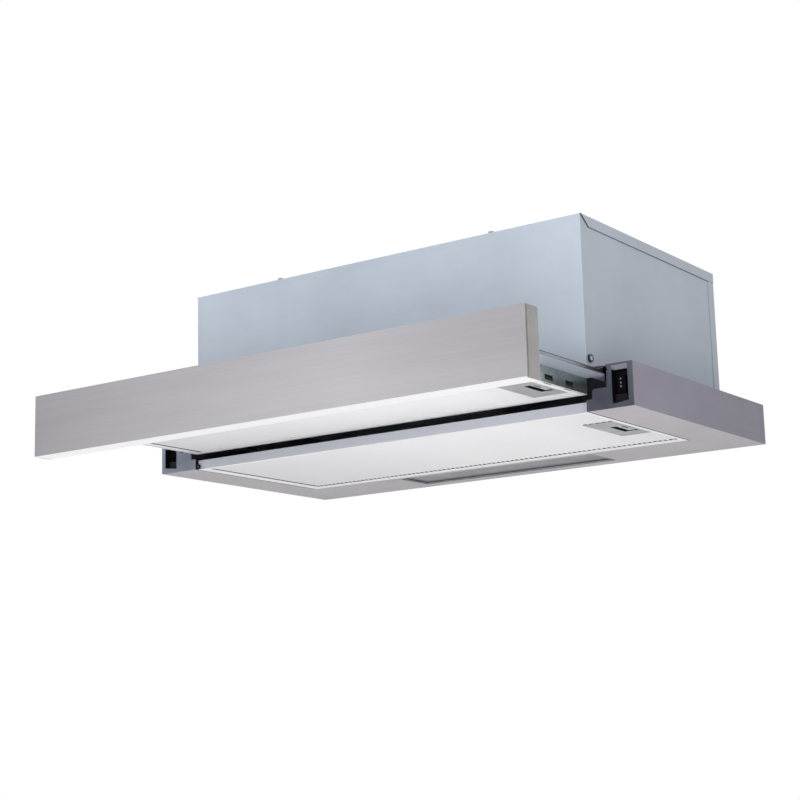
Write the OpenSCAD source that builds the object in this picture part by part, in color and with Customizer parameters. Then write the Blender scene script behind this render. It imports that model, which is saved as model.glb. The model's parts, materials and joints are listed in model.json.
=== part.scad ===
/* [Base frame] */
// Width of the base frame over its side walls
base_w = 598; // [590:0.5:604]
// Depth of the base frame from front to back
base_d = 300; // [298:0.5:312]
// Height of the base frame
base_h = 43; // [43:0.5:46]
// Thickness of the base frame's sheet steel
base_sheet = 1; // [0.9:0.1:1.1]
// Width of each side channel
channel_w = 49; // [48.5:0.5:50]
// Height of the upstands along the grease filter
upstand_h = 11; // [10.5:0.5:12]
// Depth of the rim behind the grease filter
rear_rim_d = 82; // [80:0.5:84]

/* [Upper box] */
// Inset of the upper box's sides from the sides of the base frame
box_inset = 50.5; // [50:0.5:54]
// Height of the upper box above the base frame
box_h = 155; // [154:0.5:165]
// Thickness of the upper box's sheet steel
box_sheet = 0.8; // [0.7:0.1:1]
// Setback of the box front from the front of the base frame
box_setback = 5; // [4:0.5:6]
// Height of the cover's lips
cover_lip = 11; // [9:0.5:13]
// Length of the slanted cut at the front of the cover's side lips
cover_cut = 15; // [12:0.5:18]
// Width of the back panel's side lips
back_lip = 12; // [10:0.5:14]
// Width of the flanges that fold inwards at the top of the box
top_flange = 12; // [10:0.5:14]

/* [Pull-out tray] */
// Travel of the tray from pulled out to closed
tray_travel = 168.5; // [160:0.5:168.5]
// Gap left between the fascia and the end caps when the tray is closed
closed_gap = 0.8; // [0.6:0.1:1.5]
// Gap between the tray's side walls and the side channels
tray_gap = 1.2; // [1:0.1:2]
// Height of the tray's underside above the underside of the base frame
tray_z = 17; // [16.5:0.5:17.5]
// Height of the tray's side walls under their flanges
tray_wall_h = 16; // [15.5:0.5:16.5]
// Thickness of the tray's sheet steel
tray_sheet = 1; // [0.9:0.1:1.1]
// Width of the flanges that fold outwards at the top of the tray
tray_flange = 21.2; // [21:0.1:21.5]
// Width of the rims that fold inwards at the bottom of the tray
tray_rim = 2.8; // [2.5:0.1:3]
// Length of the tray that stays behind the front of the base frame
tray_tail = 3; // [2.5:0.5:4]
// Height of the tray's rear bar
rear_bar_h = 9; // [8:0.5:10]

/* [Fascia] */
// Overhang of the fascia past each side of the base frame
fascia_over = 0.5; // [0:0.5:3]
// Height of the fascia
fascia_h = 64.5; // [62:0.5:70]
// Depth of the fascia
fascia_d = 22.2; // [21:0.1:24]
// Drop of the fascia below the underside of the base frame
fascia_drop = 3; // [1:0.5:5]
// Thickness of the fascia's stainless sheet
fascia_sheet_t = 1; // [0.9:0.1:1.2]

/* [Filters] */
// Gap between the grease filter and the side channels
grease_gap = 2; // [1.8:0.1:3]
// Thickness of the grease filter
grease_h = 10.2; // [9.8:0.1:10.5]
// Setback of the grease filter from the front of the base frame
grease_setback = 4.5; // [4.3:0.1:5]
// Gap between the tray filter and the tray's rim on the pivot side
tray_pivot_gap = 1.2; // [1:0.1:2]
// Thickness of the tray filter
tray_filter_h = 9.5; // [9.4:0.1:10]
// Width of the filters' frames at the front and on the latch side
filter_border = 5; // [4.5:0.1:5.2]
// Width of the grease filter's frame on the pivot side
pivot_border = 13; // [8:0.5:15]
// Width of the grease filter's frame at the rear
rear_border = 12.5; // [8:0.5:14]
// Width of the tray filter's frame on the pivot side
tray_pivot_border = 8; // [6:0.5:10]
// Width of the groove between a filter's frame and its mesh on the pivot side
filter_groove = 2; // [1:0.1:2.5]
// Pitch of the slots along the grease filter's rear edge
edge_slot_pitch = 6.1; // [5.5:0.1:8]

/* [Controls] */
// Thickness of the end caps' faces
cap_face = 2; // [1.5:0.1:2.5]
// Depth of the end caps
cap_depth = 26; // [22:0.5:30]
// Travel of the speed knob from off to its third dot
speed_travel = 19.5; // [12:0.5:20]
// Travel of the light knob from off to on
light_travel = 8; // [5:0.5:10]

/* [Light] */
// Length of the light lens that shows
lens_w = 257; // [220:1:270]
// Width of the light lens that shows
lens_d = 56.5; // [40:0.5:57]

/* [Fan and outlet] */
// Outer radius of the duct collar
collar_r = 60; // [58:0.5:61]
// Height of the duct collar above its flange
collar_h = 38; // [30:0.5:42]
// Distance of the duct collar's centre from the rear of the base frame
collar_back = 100; // [96:0.5:104]
// Outer radius of the fan wheel
wheel_r = 57; // [54:0.5:57.5]
// Gap between the fan wheel and each side plate of the blower
wheel_gap = 5.5; // [5:0.5:8]
// Number of blades on the fan wheel
wheel_blades = 30; // [20:1:36]
// Radius of the motor shaft
shaft_r = 4; // [3.5:0.1:4.5]

/* [Mounts] */
// Distance of the cabinet screws from the sides of the base frame
cabinet_side = 15; // [13:0.5:17]
// Distance of the front cabinet screws from the front of the base frame
cabinet_front = 60; // [55:0.5:65]
// Distance of the rear cabinet screws from the rear of the base frame
cabinet_back = 50; // [45:0.5:55]
// Radius of the cabinet screw holes
cabinet_hole_r = 2.1; // [2:0.05:2.6]
// Radius of the bore for the mains lead
lead_r = 4; // [3.5:0.1:4.5]

/* [Fits] */
// Clearance between a piece and its seat
seat_gap = 0.3; // [0.2:0.05:0.4]
// Radial clearance of a turning or sliding pin
run_gap = 0.08; // [0.05:0.01:0.1]

/* [Hidden] */
$fn = 48;
// Length by which a cut runs past the surface that it opens
overrun = 1;

// Everything is drawn from the middle of the base frame's lower front edge, and
// then moved so that the centre of the four cabinet screws is the origin.
base_x = base_w / 2;
channel_x = base_x - channel_w;
rim_y = base_d - rear_rim_d;
under_top = base_h - base_sheet;
collar_y = base_d - collar_back;
cabinet_x = base_x - cabinet_side;
cabinet_pitch_y = base_d - cabinet_front - cabinet_back;
cabinet_mid_y = cabinet_front + cabinet_pitch_y / 2;

// Upper box
box_x = base_x - box_inset;
box_in_x = box_x - box_sheet;
box_top = base_h + box_h;
cover_under = box_top - box_sheet;
lip_x = box_x + box_sheet;
back_y = base_d + box_sheet;
// Height and thickness of the upstand that the box sits over
collar_up = 18;
upstand_gap = 0.1;
well_x = box_in_x - upstand_gap - base_sheet;
well_front = box_setback + box_sheet + upstand_gap;
well_back = base_d - upstand_gap;

// Pull-out tray
tray_x = channel_x - tray_gap;
tray_in_x = tray_x - tray_sheet;
fascia_x = base_x + fascia_over;
fascia_rear = -tray_travel - closed_gap;
fascia_front = fascia_rear - fascia_d;
fascia_low = -fascia_drop;
fascia_high = fascia_h - fascia_drop;
flange_z = tray_z + tray_wall_h;
flange_top = flange_z + tray_sheet;
flange_x = tray_x + tray_flange;
tray_front_in = fascia_rear + tray_sheet;

// Fascia's end caps: step along the front, rounded corner and plug
cap_step_d = 3;
cap_step_w = 1.2;
cap_round_r = 3;
cap_plug = 8;

// Slots in the tray's side walls, which take the noses of the tray filter's latch
wall_slot_len = 15;
wall_slot_h = 5;
wall_slot_up = 3;
wall_slot_pitch = 38;
wall_slot_mid = -49.5;

// Ball slides that lie flat in the side channels
slide_half = 9;
slide_wall = 1;
slide_lip_h = 3.5;
slide_inset = 0.75;
slide_x = flange_x - slide_inset - slide_half;
slide_len = 270;
slide_front = 8.5;
ball_r = 1.2;
ball_play = 0.05;
ball_pitch = 25;
middle_half = slide_half - slide_wall - 2 * (ball_r + ball_play);
middle_lift = 0.5;
middle_floor = 0.8;
middle_lip_h = 3;
fixed_half = middle_half - slide_wall - 2 * (ball_r + ball_play);
fixed_flange = 7;
middle_z = flange_top + slide_wall + middle_lift;
fixed_z = middle_z + middle_floor + middle_lift;
outer_ball_z = flange_top + slide_lip_h - slide_wall + ball_play;
inner_ball_z = middle_z + middle_lip_h - slide_wall + ball_play;

// Pivot pins at the left edges of both filters
pin_r = 1.2;
pin_in = 1.9;
pin_up = 2.8;
tray_pin_in = 2;
tray_pin_up = 2.8;
pin_root = 2;
pin_past = 0.5;
bracket_t = 1.2;
bracket_gap = 1.3;
bracket_reach = 6;
bracket_foot = 4.6;
bracket_stem = 1.7;
bracket_tall = 10;
bracket_back = grease_setback - bracket_gap;
grease_x = channel_x - grease_gap;
grease_front = grease_setback;
grease_rear_gap = 0.7;
grease_back = rim_y - grease_rear_gap;
tray_filter_gap = 0.5;
tray_filter_front_gap = 0.3;
tray_filter_x = tray_x - tray_rim - tray_pivot_gap;
tray_filter_right = tray_x - tray_rim - tray_filter_gap;
tray_filter_front = fascia_rear + tray_rim + tray_filter_front_gap;
tray_filter_back = tray_tail - tray_rim - grease_rear_gap;
mesh_gap = 0.1;
mesh_inset = 0.6;
edge_slot = [3.2, 5];

// Latch plates: corners, finger pockets and sliders
plate_in = 7;
grease_plate_w = 35;
grease_plate_y = [64.5, 146];
grease_plate_x = channel_x - plate_in;
grease_plate = [[grease_plate_x - grease_plate_w, grease_plate_y[0]], [grease_plate_x, grease_plate_y[1]]];
grease_pocket_in = 4;
grease_pocket_w = 16;
grease_pocket_y = [92, 125];
grease_pocket_x = grease_plate_x - grease_pocket_in;
grease_pocket = [
    [grease_pocket_x - grease_pocket_w, grease_pocket_y[0]],
    [grease_pocket_x, grease_pocket_y[1]]
];
grease_nose_mid = 108.5;
tray_plate_in = 7.4;
tray_plate_w = 38.4;
tray_plate_y = [-87, -18];
tray_plate_x = tray_in_x - tray_plate_in;
tray_plate = [[tray_plate_x - tray_plate_w, tray_plate_y[0]], [tray_plate_x, tray_plate_y[1]]];
tray_pocket_in = 4.4;
tray_pocket_w = 13.5;
tray_pocket_y = [-71, -37];
tray_pocket_x = tray_plate_x - tray_pocket_in;
tray_pocket = [[tray_pocket_x - tray_pocket_w, tray_pocket_y[0]], [tray_pocket_x, tray_pocket_y[1]]];
plate_low = 0.2;
plate_t = 1.8;
pocket_wall = 1.2;
pocket_high = 8.8;
latch_travel = 3;
latch_gap = 0.4;
nose_len = 14;
nose_low = 3.4;
nose_h = 3.2;
crossbar_low = 2.4;
crossbar_h = 4.6;
crossbar_w = 2.6;
bar_lap = 1;
tab_gap = 4.4;
tab_rear_gap = 6;
slit = [2.8, 14, 1.2];
slit_in = 1.5;
scallop_r = 3.2;
scallop_count = 5;

// End caps: the notch for the slide, and the switch recess
notch_in = 5.5;
notch_past = 1.2;
notch_left = channel_x + notch_in;
notch_right = flange_x + notch_past;
notch_floor = 21;
notch_corner = 2.5;
notch_step = 11.5;
notch_slant_low = 35.5;
notch_slant = 3.5;
notch_slant_in = notch_right - notch_slant;
cap_lap = 1;
cap_x = channel_x - cap_lap;
cap_slit = 1.4;
recess_in = 5;
recess_w = 17;
recess_right = base_x - recess_in;
recess_left = recess_right - recess_w;
recess_low = 4;
recess_rise = 2;
recess_top = 37;
recess_mouth = 41;
recess_mouth_y = 6;
cap_wall = 2;
switch_y = 9;
switch_d = 17;
knob_in = 3;
knob_w = 13;
knob_right = recess_right - knob_in;
knob_left = knob_right - knob_w;
knob_low = 6.4;
knob_h = 6.5;
knob_front = 3.5;
stem_in = 2.5;
stem_x = knob_right - stem_in;
stem_w = 2.4;
stem_h = 4;
stem_len = 4;
track_gap = 0.3;

// Lamp behind the rim window
lamp_back = 47.5;
lamp_mid_y = base_d - lamp_back;
lamp_wall = 1.2;
lamp_h = 15;
lens_t = 2.5;
lens_up = 2.2;
lens_lap = 1.6;
board_t = 1.6;
chip = [5, 5, 1];
chip_count = 6;
chip_pitch = 36;

// Blower
scroll_w = 120;
scroll_t = 1.5;
scroll_r0 = 62;
scroll_r1 = 92;
tongue_a = 107;
scroll_steps = 22;
fan_up = 85;
fan_z = base_h + fan_up;
tongue_y = scroll_r0 * cos(tongue_a);
fan_y = collar_y - (tongue_y + scroll_r1) / 2;
neck_gap = 0.2;
neck_top = cover_under - neck_gap;
neck_flange = 8;
inlet_r = 46;
inlet_lip = 6;
wheel_half = scroll_w / 2 - wheel_gap;
wheel_in_r = 48;
wheel_ring = 2;
wheel_disc = 2;
blade_t = 1.2;
blade_lean = 28;
hub_r = 10;
hub_len = 18;
motor_r = 36;
motor_near = 4;
motor_end_gap = 4.5;
motor_far = wheel_half - motor_end_gap;
motor_boss_r = 14;
bracket_plate = 2.5;
bracket_arm = 10;
bracket_out = 56;

// Outlet collar and its two flaps
collar_wall = 2;
collar_flange_r = 72;
collar_flange_t = 2.5;
collar_in = collar_r - collar_wall;
collar_z = box_top + collar_flange_t;
flap_up = 6;
flap_z = collar_z + flap_up;
flap_split = 2.8;
flap_gap = 1.7;
flap_t = 1.5;
flap_drop = 1.3;
flap_pin_r = 1.5;
barrel_r = 2.2;
barrel_gap = 1.2;
ledge_w = 3;
ledge_t = 1.3;
ledge_free = 8;

// Wiring parts on the cover
terminal_in = 58.5;
terminal_x = terminal_in - box_x;
terminal_back = 45;
terminal_mid = [terminal_x, base_d - terminal_back];
terminal_size = [70, 60, 37];
terminal_wall = 2;
gland_thread_r = 7.9;
gland_hex_r = 12;
gland_hex_h = 6;
gland_nut_r = 9.5;
gland_nut_h = 12;
gland_below = 12;
capacitor_mid = [-130, 60];
capacitor_r = 16;
capacitor_h = 62;
cable_r = 3;

// Microswitch that the closed tray faces
switch_tab = [28, 24];
switch_tab_z = 19;
switch_body_w = 7;
switch_body_h = 16;
plunger_r = 1.5;
plunger_out = 4;
plunger_in = 6;
plunger_travel = 2.5;
switch_gap = 0.5;
switch_tab_y = tray_tail + tray_travel + switch_gap + plunger_out;

// Screws
screw_head_r = 4;
screw_head_h = 2.2;
tall_head_h = 2.5;
screw_r = 1.5;
screw_len = 4;
side_screw_y = 11.6;
side_screw_z = 54;
cover_screw_y = 10;
cover_screws_front_x = [-131, 143.5];
cover_screws_in = [23.5, 58.5];
cover_screw_mid = -60;
cover_screws_rear_x = [cover_screws_in[0] - box_x, cover_screw_mid, box_x - cover_screws_in[1]];
cover_screws_rear_in = 7;
back_screws_in = 48.5;
back_screws_x = box_x - back_screws_in;
nut_r = 4;
nut_h = 6;
fascia_screw_in = 99.5;
fascia_screw_mid = 70;
fascia_screw_out = fascia_x - fascia_screw_in;
fascia_screw_x = [-fascia_screw_out, -fascia_screw_mid, fascia_screw_mid, fascia_screw_out];
fascia_screw_z = 27.5;
fascia_screw_r = 3.4;
fascia_screw_head = 1.8;

// A block from its lowest corner to its highest corner
module span(low, high) {
    translate(low)
        cube(high - low);
}

// Moves what was drawn from the base frame's lower front edge to the part's own frame
module placed() {
    translate([0, -cabinet_mid_y, -base_h])
        children();
}

// The right-hand shape and its mirror image on the left
module both_sides() {
    children();
    mirror([1, 0, 0])
        children();
}

// A round rod along each axis
module rod_x(from, to, mid_y, mid_z, r) {
    translate([from, mid_y, mid_z])
        rotate([0, 90, 0])
            cylinder(h = to - from, r = r);
}

module rod_y(from, to, mid_x, mid_z, r) {
    translate([mid_x, from, mid_z])
        rotate([-90, 0, 0])
            cylinder(h = to - from, r = r);
}

module rod_z(from, to, mid_x, mid_y, r) {
    translate([mid_x, mid_y, from])
        cylinder(h = to - from, r = r);
}

// An outline in Y and Z, drawn out along X
module along_x(from, to) {
    translate([from, 0, 0])
        rotate([90, 0, 90])
            linear_extrude(to - from)
                children();
}

// An outline in X and Z, drawn out along Y
module along_y(from, to) {
    translate([0, to, 0])
        rotate([90, 0, 0])
            linear_extrude(to - from)
                children();
}

// Base frame: one folded sheet with a top, two side channels, a rear wall and a rear rim
module lower_frame() {
    color("#9c9aa8") placed() difference() {
        union() {
            span([-notch_right, 0, under_top], [notch_right, cap_face, base_h]);
            span([-base_x, cap_face, under_top], [base_x, base_d, base_h]);
            both_sides() {
                span([base_x - base_sheet, cap_face, 0], [base_x, base_d, base_h]);
                span([channel_x, cap_face, 0], [base_x, base_d, base_sheet]);
                span([channel_x, cap_face, 0], [channel_x + base_sheet, rim_y + base_sheet, upstand_h]);
            }
            span([-base_x, base_d - base_sheet, 0], [base_x, base_d, base_h]);
            span([-base_x, rim_y, 0], [base_x, base_d, base_sheet]);
            span([-channel_x, rim_y, 0], [channel_x, rim_y + base_sheet, upstand_h]);
            span(
                [-well_x - base_sheet, well_front, under_top],
                [well_x + base_sheet, well_back, base_h + collar_up]
            );
            span(
                [well_x, switch_tab_y, switch_tab_z],
                [well_x + base_sheet, switch_tab_y + switch_tab[0], base_h]
            );
        }
        span(
            [-well_x, well_front + base_sheet, under_top - overrun],
            [well_x, well_back - base_sheet, base_h + collar_up + overrun]
        );
        span(
            [-lens_w / 2, lamp_mid_y - lens_d / 2, -overrun],
            [lens_w / 2, lamp_mid_y + lens_d / 2, base_sheet + overrun]
        );
        cabinet_holes(under_top - overrun, base_h + overrun);
        side_screw_holes();
        rod_y(
            rim_y - overrun, rim_y + base_sheet + overrun,
            -grease_x + pin_in, pin_up, pin_r + run_gap
        );
        latch_slots(
            channel_x - overrun, channel_x + base_sheet + overrun, grease_nose_mid,
            nose_low - latch_gap, nose_low + nose_h + latch_gap
        );
    }
}

module cabinet_holes(low, high) {
    for (side = [-1, 1])
        for (row = [0, 1])
            rod_z(
                low, high,
                side * cabinet_x, cabinet_front + row * cabinet_pitch_y, cabinet_hole_r
            );
}

module side_screw_holes() {
    both_sides()
        rod_x(well_x - overrun, box_x + overrun, side_screw_y, side_screw_z, screw_r + run_gap);
    for (side = [-1, 1])
        rod_y(
            well_back - base_sheet - overrun, back_y + overrun,
            side * back_screws_x, side_screw_z, screw_r + run_gap
        );
}

// Two openings in a wall for the noses of a filter latch
module latch_slots(from, to, mid_y, low, high) {
    for (side = [-1, 1])
        translate([0, mid_y + side * wall_slot_pitch / 2, 0])
            span([from, -wall_slot_len / 2, low], [to, wall_slot_len / 2, high]);
}

// Press-in nuts under the top sheet, which take the cabinet screws
module cabinet_nuts() {
    color("#b9bbbd") placed() difference() {
        for (side = [-1, 1])
            for (row = [0, 1])
                rod_z(
                    under_top - nut_h, under_top,
                    side * cabinet_x, cabinet_front + row * cabinet_pitch_y, nut_r
                );
        cabinet_holes(under_top - nut_h - overrun, under_top + overrun);
    }
}

// Face of an end cap, with the notch that the slide runs through
module cap_outline() {
    polygon([
        [cap_x, 0],
        [base_x, 0],
        [base_x, base_h],
        [notch_right + seat_gap, base_h],
        [notch_right + seat_gap, under_top - seat_gap],
        [notch_slant_in, under_top - seat_gap],
        [notch_right, notch_slant_low],
        [notch_right, notch_floor],
        [notch_left + notch_corner, notch_floor],
        [notch_left + notch_corner * (1 - sin(45)), notch_floor - notch_corner * (1 - sin(45))],
        [notch_left, notch_floor - notch_corner],
        [notch_left, notch_step],
        [cap_x, notch_step],
    ]);
}

module recess_outline() {
    polygon([
        [recess_left, recess_low],
        [recess_right, recess_low + recess_rise],
        [recess_right, recess_top],
        [recess_left, recess_top],
    ]);
}

module end_cap() {
    pocket_left = recess_left - cap_wall;
    pocket_right = base_x - base_sheet - seat_gap;
    floor_z = base_sheet + seat_gap;
    difference() {
        union() {
            along_y(0, cap_face)
                cap_outline();
            span([pocket_left, 0, floor_z], [pocket_right, cap_depth, under_top - seat_gap]);
            span(
                [channel_x + base_sheet + seat_gap, cap_face / 2, floor_z],
                [pocket_left + cap_wall / 2, cap_depth, floor_z + cap_wall]
            );
        }
        along_y(-overrun, cap_depth + overrun)
            recess_outline();
        along_x(recess_left, recess_right)
            polygon([
                [-overrun, recess_low + recess_rise],
                [recess_mouth_y, recess_low + recess_rise],
                [recess_mouth_y, recess_top],
                [0, recess_mouth],
                [-overrun, recess_mouth],
            ]);
        along_y(-overrun, cap_face + overrun)
            polygon([
                [notch_slant_in + cap_slit, under_top - seat_gap - cap_slit],
                [notch_slant_in + 2 * cap_slit, under_top - seat_gap - cap_slit],
                [notch_right + 2 * cap_slit, notch_slant_low + cap_slit],
                [notch_right + cap_slit, notch_slant_low + cap_slit],
            ]);
    }
}

module end_cap_right() {
    color("#4a4e5a") placed()
        end_cap();
}

module end_cap_left() {
    color("#7a7f8d") placed()
        mirror([1, 0, 0])
            end_cap();
}

// Slide switch that fills the recess from behind, with the track for its knob's stem
module slide_switch(travel) {
    difference() {
        span(
            [recess_left + seat_gap, switch_y, recess_low + recess_rise + seat_gap],
            [recess_right - seat_gap, switch_y + switch_d, recess_top - seat_gap]
        );
        span(
            [
                stem_x - stem_w / 2 - track_gap,
                switch_y - overrun,
                knob_low + (knob_h - stem_h) / 2 - track_gap
            ],
            [
                stem_x + stem_w / 2 + track_gap,
                switch_y + stem_len + track_gap,
                knob_low + (knob_h + stem_h) / 2 + travel + track_gap,
            ]
        );
    }
}

module speed_switch() {
    color("#1b1b1e") placed()
        slide_switch(speed_travel);
}

module light_switch() {
    color("#1b1b1e") placed()
        mirror([1, 0, 0])
            slide_switch(light_travel);
}

// Knob with a grooved face and the stem that runs in the switch's track
module slide_knob() {
    knob_back = switch_y - track_gap;
    groove = knob_h / 8;
    difference() {
        span([knob_left, knob_front, knob_low], [knob_right, knob_back, knob_low + knob_h]);
        for (row = [1, 3, 5])
            span(
                [knob_left - overrun, knob_front - overrun, knob_low + (row + 0.5) * groove],
                [knob_right + overrun, knob_front + groove, knob_low + (row + 1.5) * groove]
            );
    }
    span(
        [stem_x - stem_w / 2, knob_back - groove, knob_low + (knob_h - stem_h) / 2],
        [stem_x + stem_w / 2, switch_y + stem_len, knob_low + (knob_h + stem_h) / 2]
    );
}

module speed_knob() {
    color("#3a3430") placed()
        slide_knob();
}

module light_knob() {
    color("#3a3430") placed()
        mirror([1, 0, 0])
            slide_knob();
}

// Small tab beside the left end of the grease filter, which holds its front pin
module filter_pivot_bracket() {
    color("#202024") placed() difference() {
        along_y(bracket_back - bracket_t, bracket_back)
            translate([-channel_x, base_sheet / 2])
                polygon([
                    [0, 0],
                    [bracket_reach, 0],
                    [bracket_reach, bracket_foot],
                    [bracket_stem, bracket_foot],
                    [bracket_stem, bracket_tall],
                    [0, bracket_tall],
                ]);
        rod_y(
            bracket_back - bracket_t - overrun, bracket_back + overrun,
            -grease_x + pin_in, pin_up, pin_r + run_gap
        );
    }
}

// Front and sides of the upper box, folded from one sheet
module box_wrap() {
    color("#b4c0cd") placed() difference() {
        union() {
            span([-box_x, box_setback, base_h], [box_x, box_setback + box_sheet, cover_under]);
            span(
                [-box_x, box_setback, cover_under - box_sheet],
                [box_x, box_setback + top_flange, cover_under]
            );
            both_sides() {
                span([box_in_x, box_setback, base_h], [box_x, base_d, cover_under]);
                span(
                    [box_x - top_flange, box_setback, cover_under - box_sheet],
                    [box_x, base_d, cover_under]
                );
            }
        }
        side_screw_holes();
        cover_screw_holes();
    }
}

module cover_screw_holes() {
    for (x = cover_screws_front_x)
        rod_z(cover_under - box_sheet - overrun, box_top + overrun, x, cover_screw_y, screw_r + run_gap);
    for (x = cover_screws_rear_x)
        rod_z(
            cover_under - box_sheet - overrun, box_top + overrun,
            x, base_d - cover_screws_rear_in, screw_r + run_gap
        );
}

// Top cover with lips over the sides and the back
module box_cover() {
    color("#b4c0cd") placed() difference() {
        union() {
            span([-lip_x, box_setback, cover_under], [lip_x, back_y + box_sheet, box_top]);
            both_sides()
                along_x(box_x, lip_x)
                    polygon([
                        [box_setback, box_top],
                        [box_setback + cover_cut, box_top - cover_lip],
                        [back_y + box_sheet, box_top - cover_lip],
                        [back_y + box_sheet, box_top],
                    ]);
            span([-lip_x, back_y, box_top - cover_lip], [lip_x, back_y + box_sheet, box_top]);
        }
        rod_z(cover_under - overrun, box_top + overrun, 0, collar_y, collar_in);
        rod_z(
            cover_under - overrun, box_top + overrun,
            terminal_mid[0], terminal_mid[1], gland_thread_r + run_gap
        );
        cover_screw_holes();
    }
}

// Back panel, whose side lips fold forward over the wrap
module box_back() {
    color("#aab6c3") placed() difference() {
        union() {
            span([-lip_x, base_d, base_h], [lip_x, back_y, box_top - cover_lip]);
            span([-box_x, base_d, base_h], [box_x, back_y, cover_under]);
            both_sides()
                span([box_x, base_d - back_lip, base_h], [lip_x, back_y, box_top - cover_lip]);
            span(
                [-box_x + top_flange, base_d - 2 * cover_screws_rear_in, cover_under - box_sheet],
                [box_x - top_flange, back_y, cover_under]
            );
        }
        side_screw_holes();
        cover_screw_holes();
    }
}

module cover_screws() {
    color("#8f969e") placed() {
        for (x = cover_screws_front_x)
            tall_screw(x, cover_screw_y);
        for (x = cover_screws_rear_x)
            tall_screw(x, base_d - cover_screws_rear_in);
    }
}

module tall_screw(x, y) {
    rod_z(box_top, box_top + box_sheet, x, y, screw_head_r);
    translate([x, y, box_top])
        cylinder(h = tall_head_h, r = screw_head_r * 0.85, $fn = 6);
    rod_z(box_top - screw_len, box_top + box_sheet, x, y, screw_r);
}

// Pan-head screws that hold the box to the upstand of the base frame
module side_screws() {
    color("#9aa1a8") placed() {
        both_sides() {
            difference() {
                rod_x(box_x, box_x + screw_head_h, side_screw_y, side_screw_z, screw_head_r);
                cross_recess(box_x + screw_head_h, side_screw_y, side_screw_z);
            }
            rod_x(box_x - screw_len, box_x, side_screw_y, side_screw_z, screw_r);
        }
        for (side = [-1, 1]) {
            rod_y(back_y, back_y + screw_head_h, side * back_screws_x, side_screw_z, screw_head_r);
            rod_y(back_y - screw_len, back_y, side * back_screws_x, side_screw_z, screw_r);
        }
    }
}

module cross_recess(x, y, z) {
    arm = screw_head_r / 2;
    slot_half = screw_r / 4;
    deep = screw_head_h / 2;
    span([x - deep, y - arm, z - slot_half], [x + overrun, y + arm, z + slot_half]);
    span([x - deep, y - slot_half, z - arm], [x + overrun, y + slot_half, z + arm]);
}

// Duct collar: a flange on the cover, a round spigot, and a ledge that stops the flaps
module outlet_collar() {
    color("#3c3f44") placed() difference() {
        union() {
            rod_z(box_top, collar_z, 0, collar_y, collar_flange_r);
            rod_z(box_top, collar_z + collar_h, 0, collar_y, collar_r);
        }
        difference() {
            rod_z(box_top - overrun, collar_z + collar_h + overrun, 0, collar_y, collar_in);
            difference() {
                ledge_top = flap_z - flap_drop - seat_gap;
                rod_z(ledge_top - ledge_t, ledge_top, 0, collar_y, collar_in);
                rod_z(ledge_top - ledge_t - overrun, ledge_top + overrun, 0, collar_y, collar_in - ledge_w);
                span(
                    [-collar_r, collar_y - ledge_free, ledge_top - ledge_t - overrun],
                    [collar_r, collar_y + ledge_free, ledge_top + overrun]
                );
            }
        }
        for (side = [-1, 1])
            rod_x(
                -collar_r - overrun, collar_r + overrun,
                collar_y + side * flap_split, flap_z, flap_pin_r + run_gap
            );
    }
}

// Half-round flap with its barrel and the two pins that it turns on
module flap(side) {
    axis_y = collar_y + side * flap_split;
    barrel_end = collar_in - barrel_gap;
    intersection() {
        rod_z(flap_z - flap_drop, flap_z - flap_drop + flap_t, 0, collar_y, collar_in - flap_gap);
        translate([0, axis_y + side * collar_r, flap_z])
            cube([2 * collar_r, 2 * collar_r, 2 * flap_t + flap_drop], center = true);
    }
    rod_x(-barrel_end, barrel_end, axis_y, flap_z, barrel_r);
    rod_x(-collar_r + barrel_gap, collar_r - barrel_gap, axis_y, flap_z, flap_pin_r);
}

module flap_front() {
    color("#e2e3e4") placed()
        flap(-1);
}

module flap_rear() {
    color("#e2e3e4") placed()
        flap(1);
}

// Scroll of the blower: its radius grows steadily from the tongue to the outlet
function scroll_r(angle) = scroll_r0 + (scroll_r1 - scroll_r0) * (angle - tongue_a) / (360 - tongue_a);

function scroll_points(wall) = [
    for (i = [0 : scroll_steps])
        let (angle = tongue_a + (360 - tongue_a) * i / scroll_steps)
            [fan_y + (scroll_r(angle) + wall) * cos(angle), fan_z + (scroll_r(angle) + wall) * sin(angle)]
];

module scroll_outline(wall, top) {
    polygon(concat(
        [[fan_y + scroll_r1 + wall, top], [fan_y + tongue_y - wall, top]],
        scroll_points(wall)
    ));
}

// Curved strip between the two side plates, with the flange that hangs from the cover
module blower_band() {
    color("#c3c8cc") placed() difference() {
        union() {
            along_x(-scroll_w / 2, scroll_w / 2)
                scroll_outline(scroll_t, neck_top);
            span(
                [-scroll_w / 2 - neck_flange, fan_y + tongue_y - neck_flange, neck_top - scroll_t],
                [scroll_w / 2 + neck_flange, fan_y + scroll_r1 + neck_flange, neck_top]
            );
        }
        along_x(-scroll_w / 2 - overrun, scroll_w / 2 + overrun)
            scroll_outline(0, neck_top + overrun);
    }
}

module blower_side() {
    plate_x = scroll_w / 2;
    difference() {
        union() {
            along_x(plate_x, plate_x + scroll_t)
                scroll_outline(scroll_t, neck_top - scroll_t);
            rod_x(plate_x - inlet_lip, plate_x + scroll_t, fan_y, fan_z, inlet_r);
        }
        rod_x(
            plate_x - inlet_lip - overrun, plate_x + scroll_t + overrun,
            fan_y, fan_z, inlet_r - scroll_t
        );
    }
}

module blower_side_right() {
    color("#c3c8cc") placed()
        blower_side();
}

module blower_side_left() {
    color("#c3c8cc") placed()
        mirror([1, 0, 0])
            blower_side();
}

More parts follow.
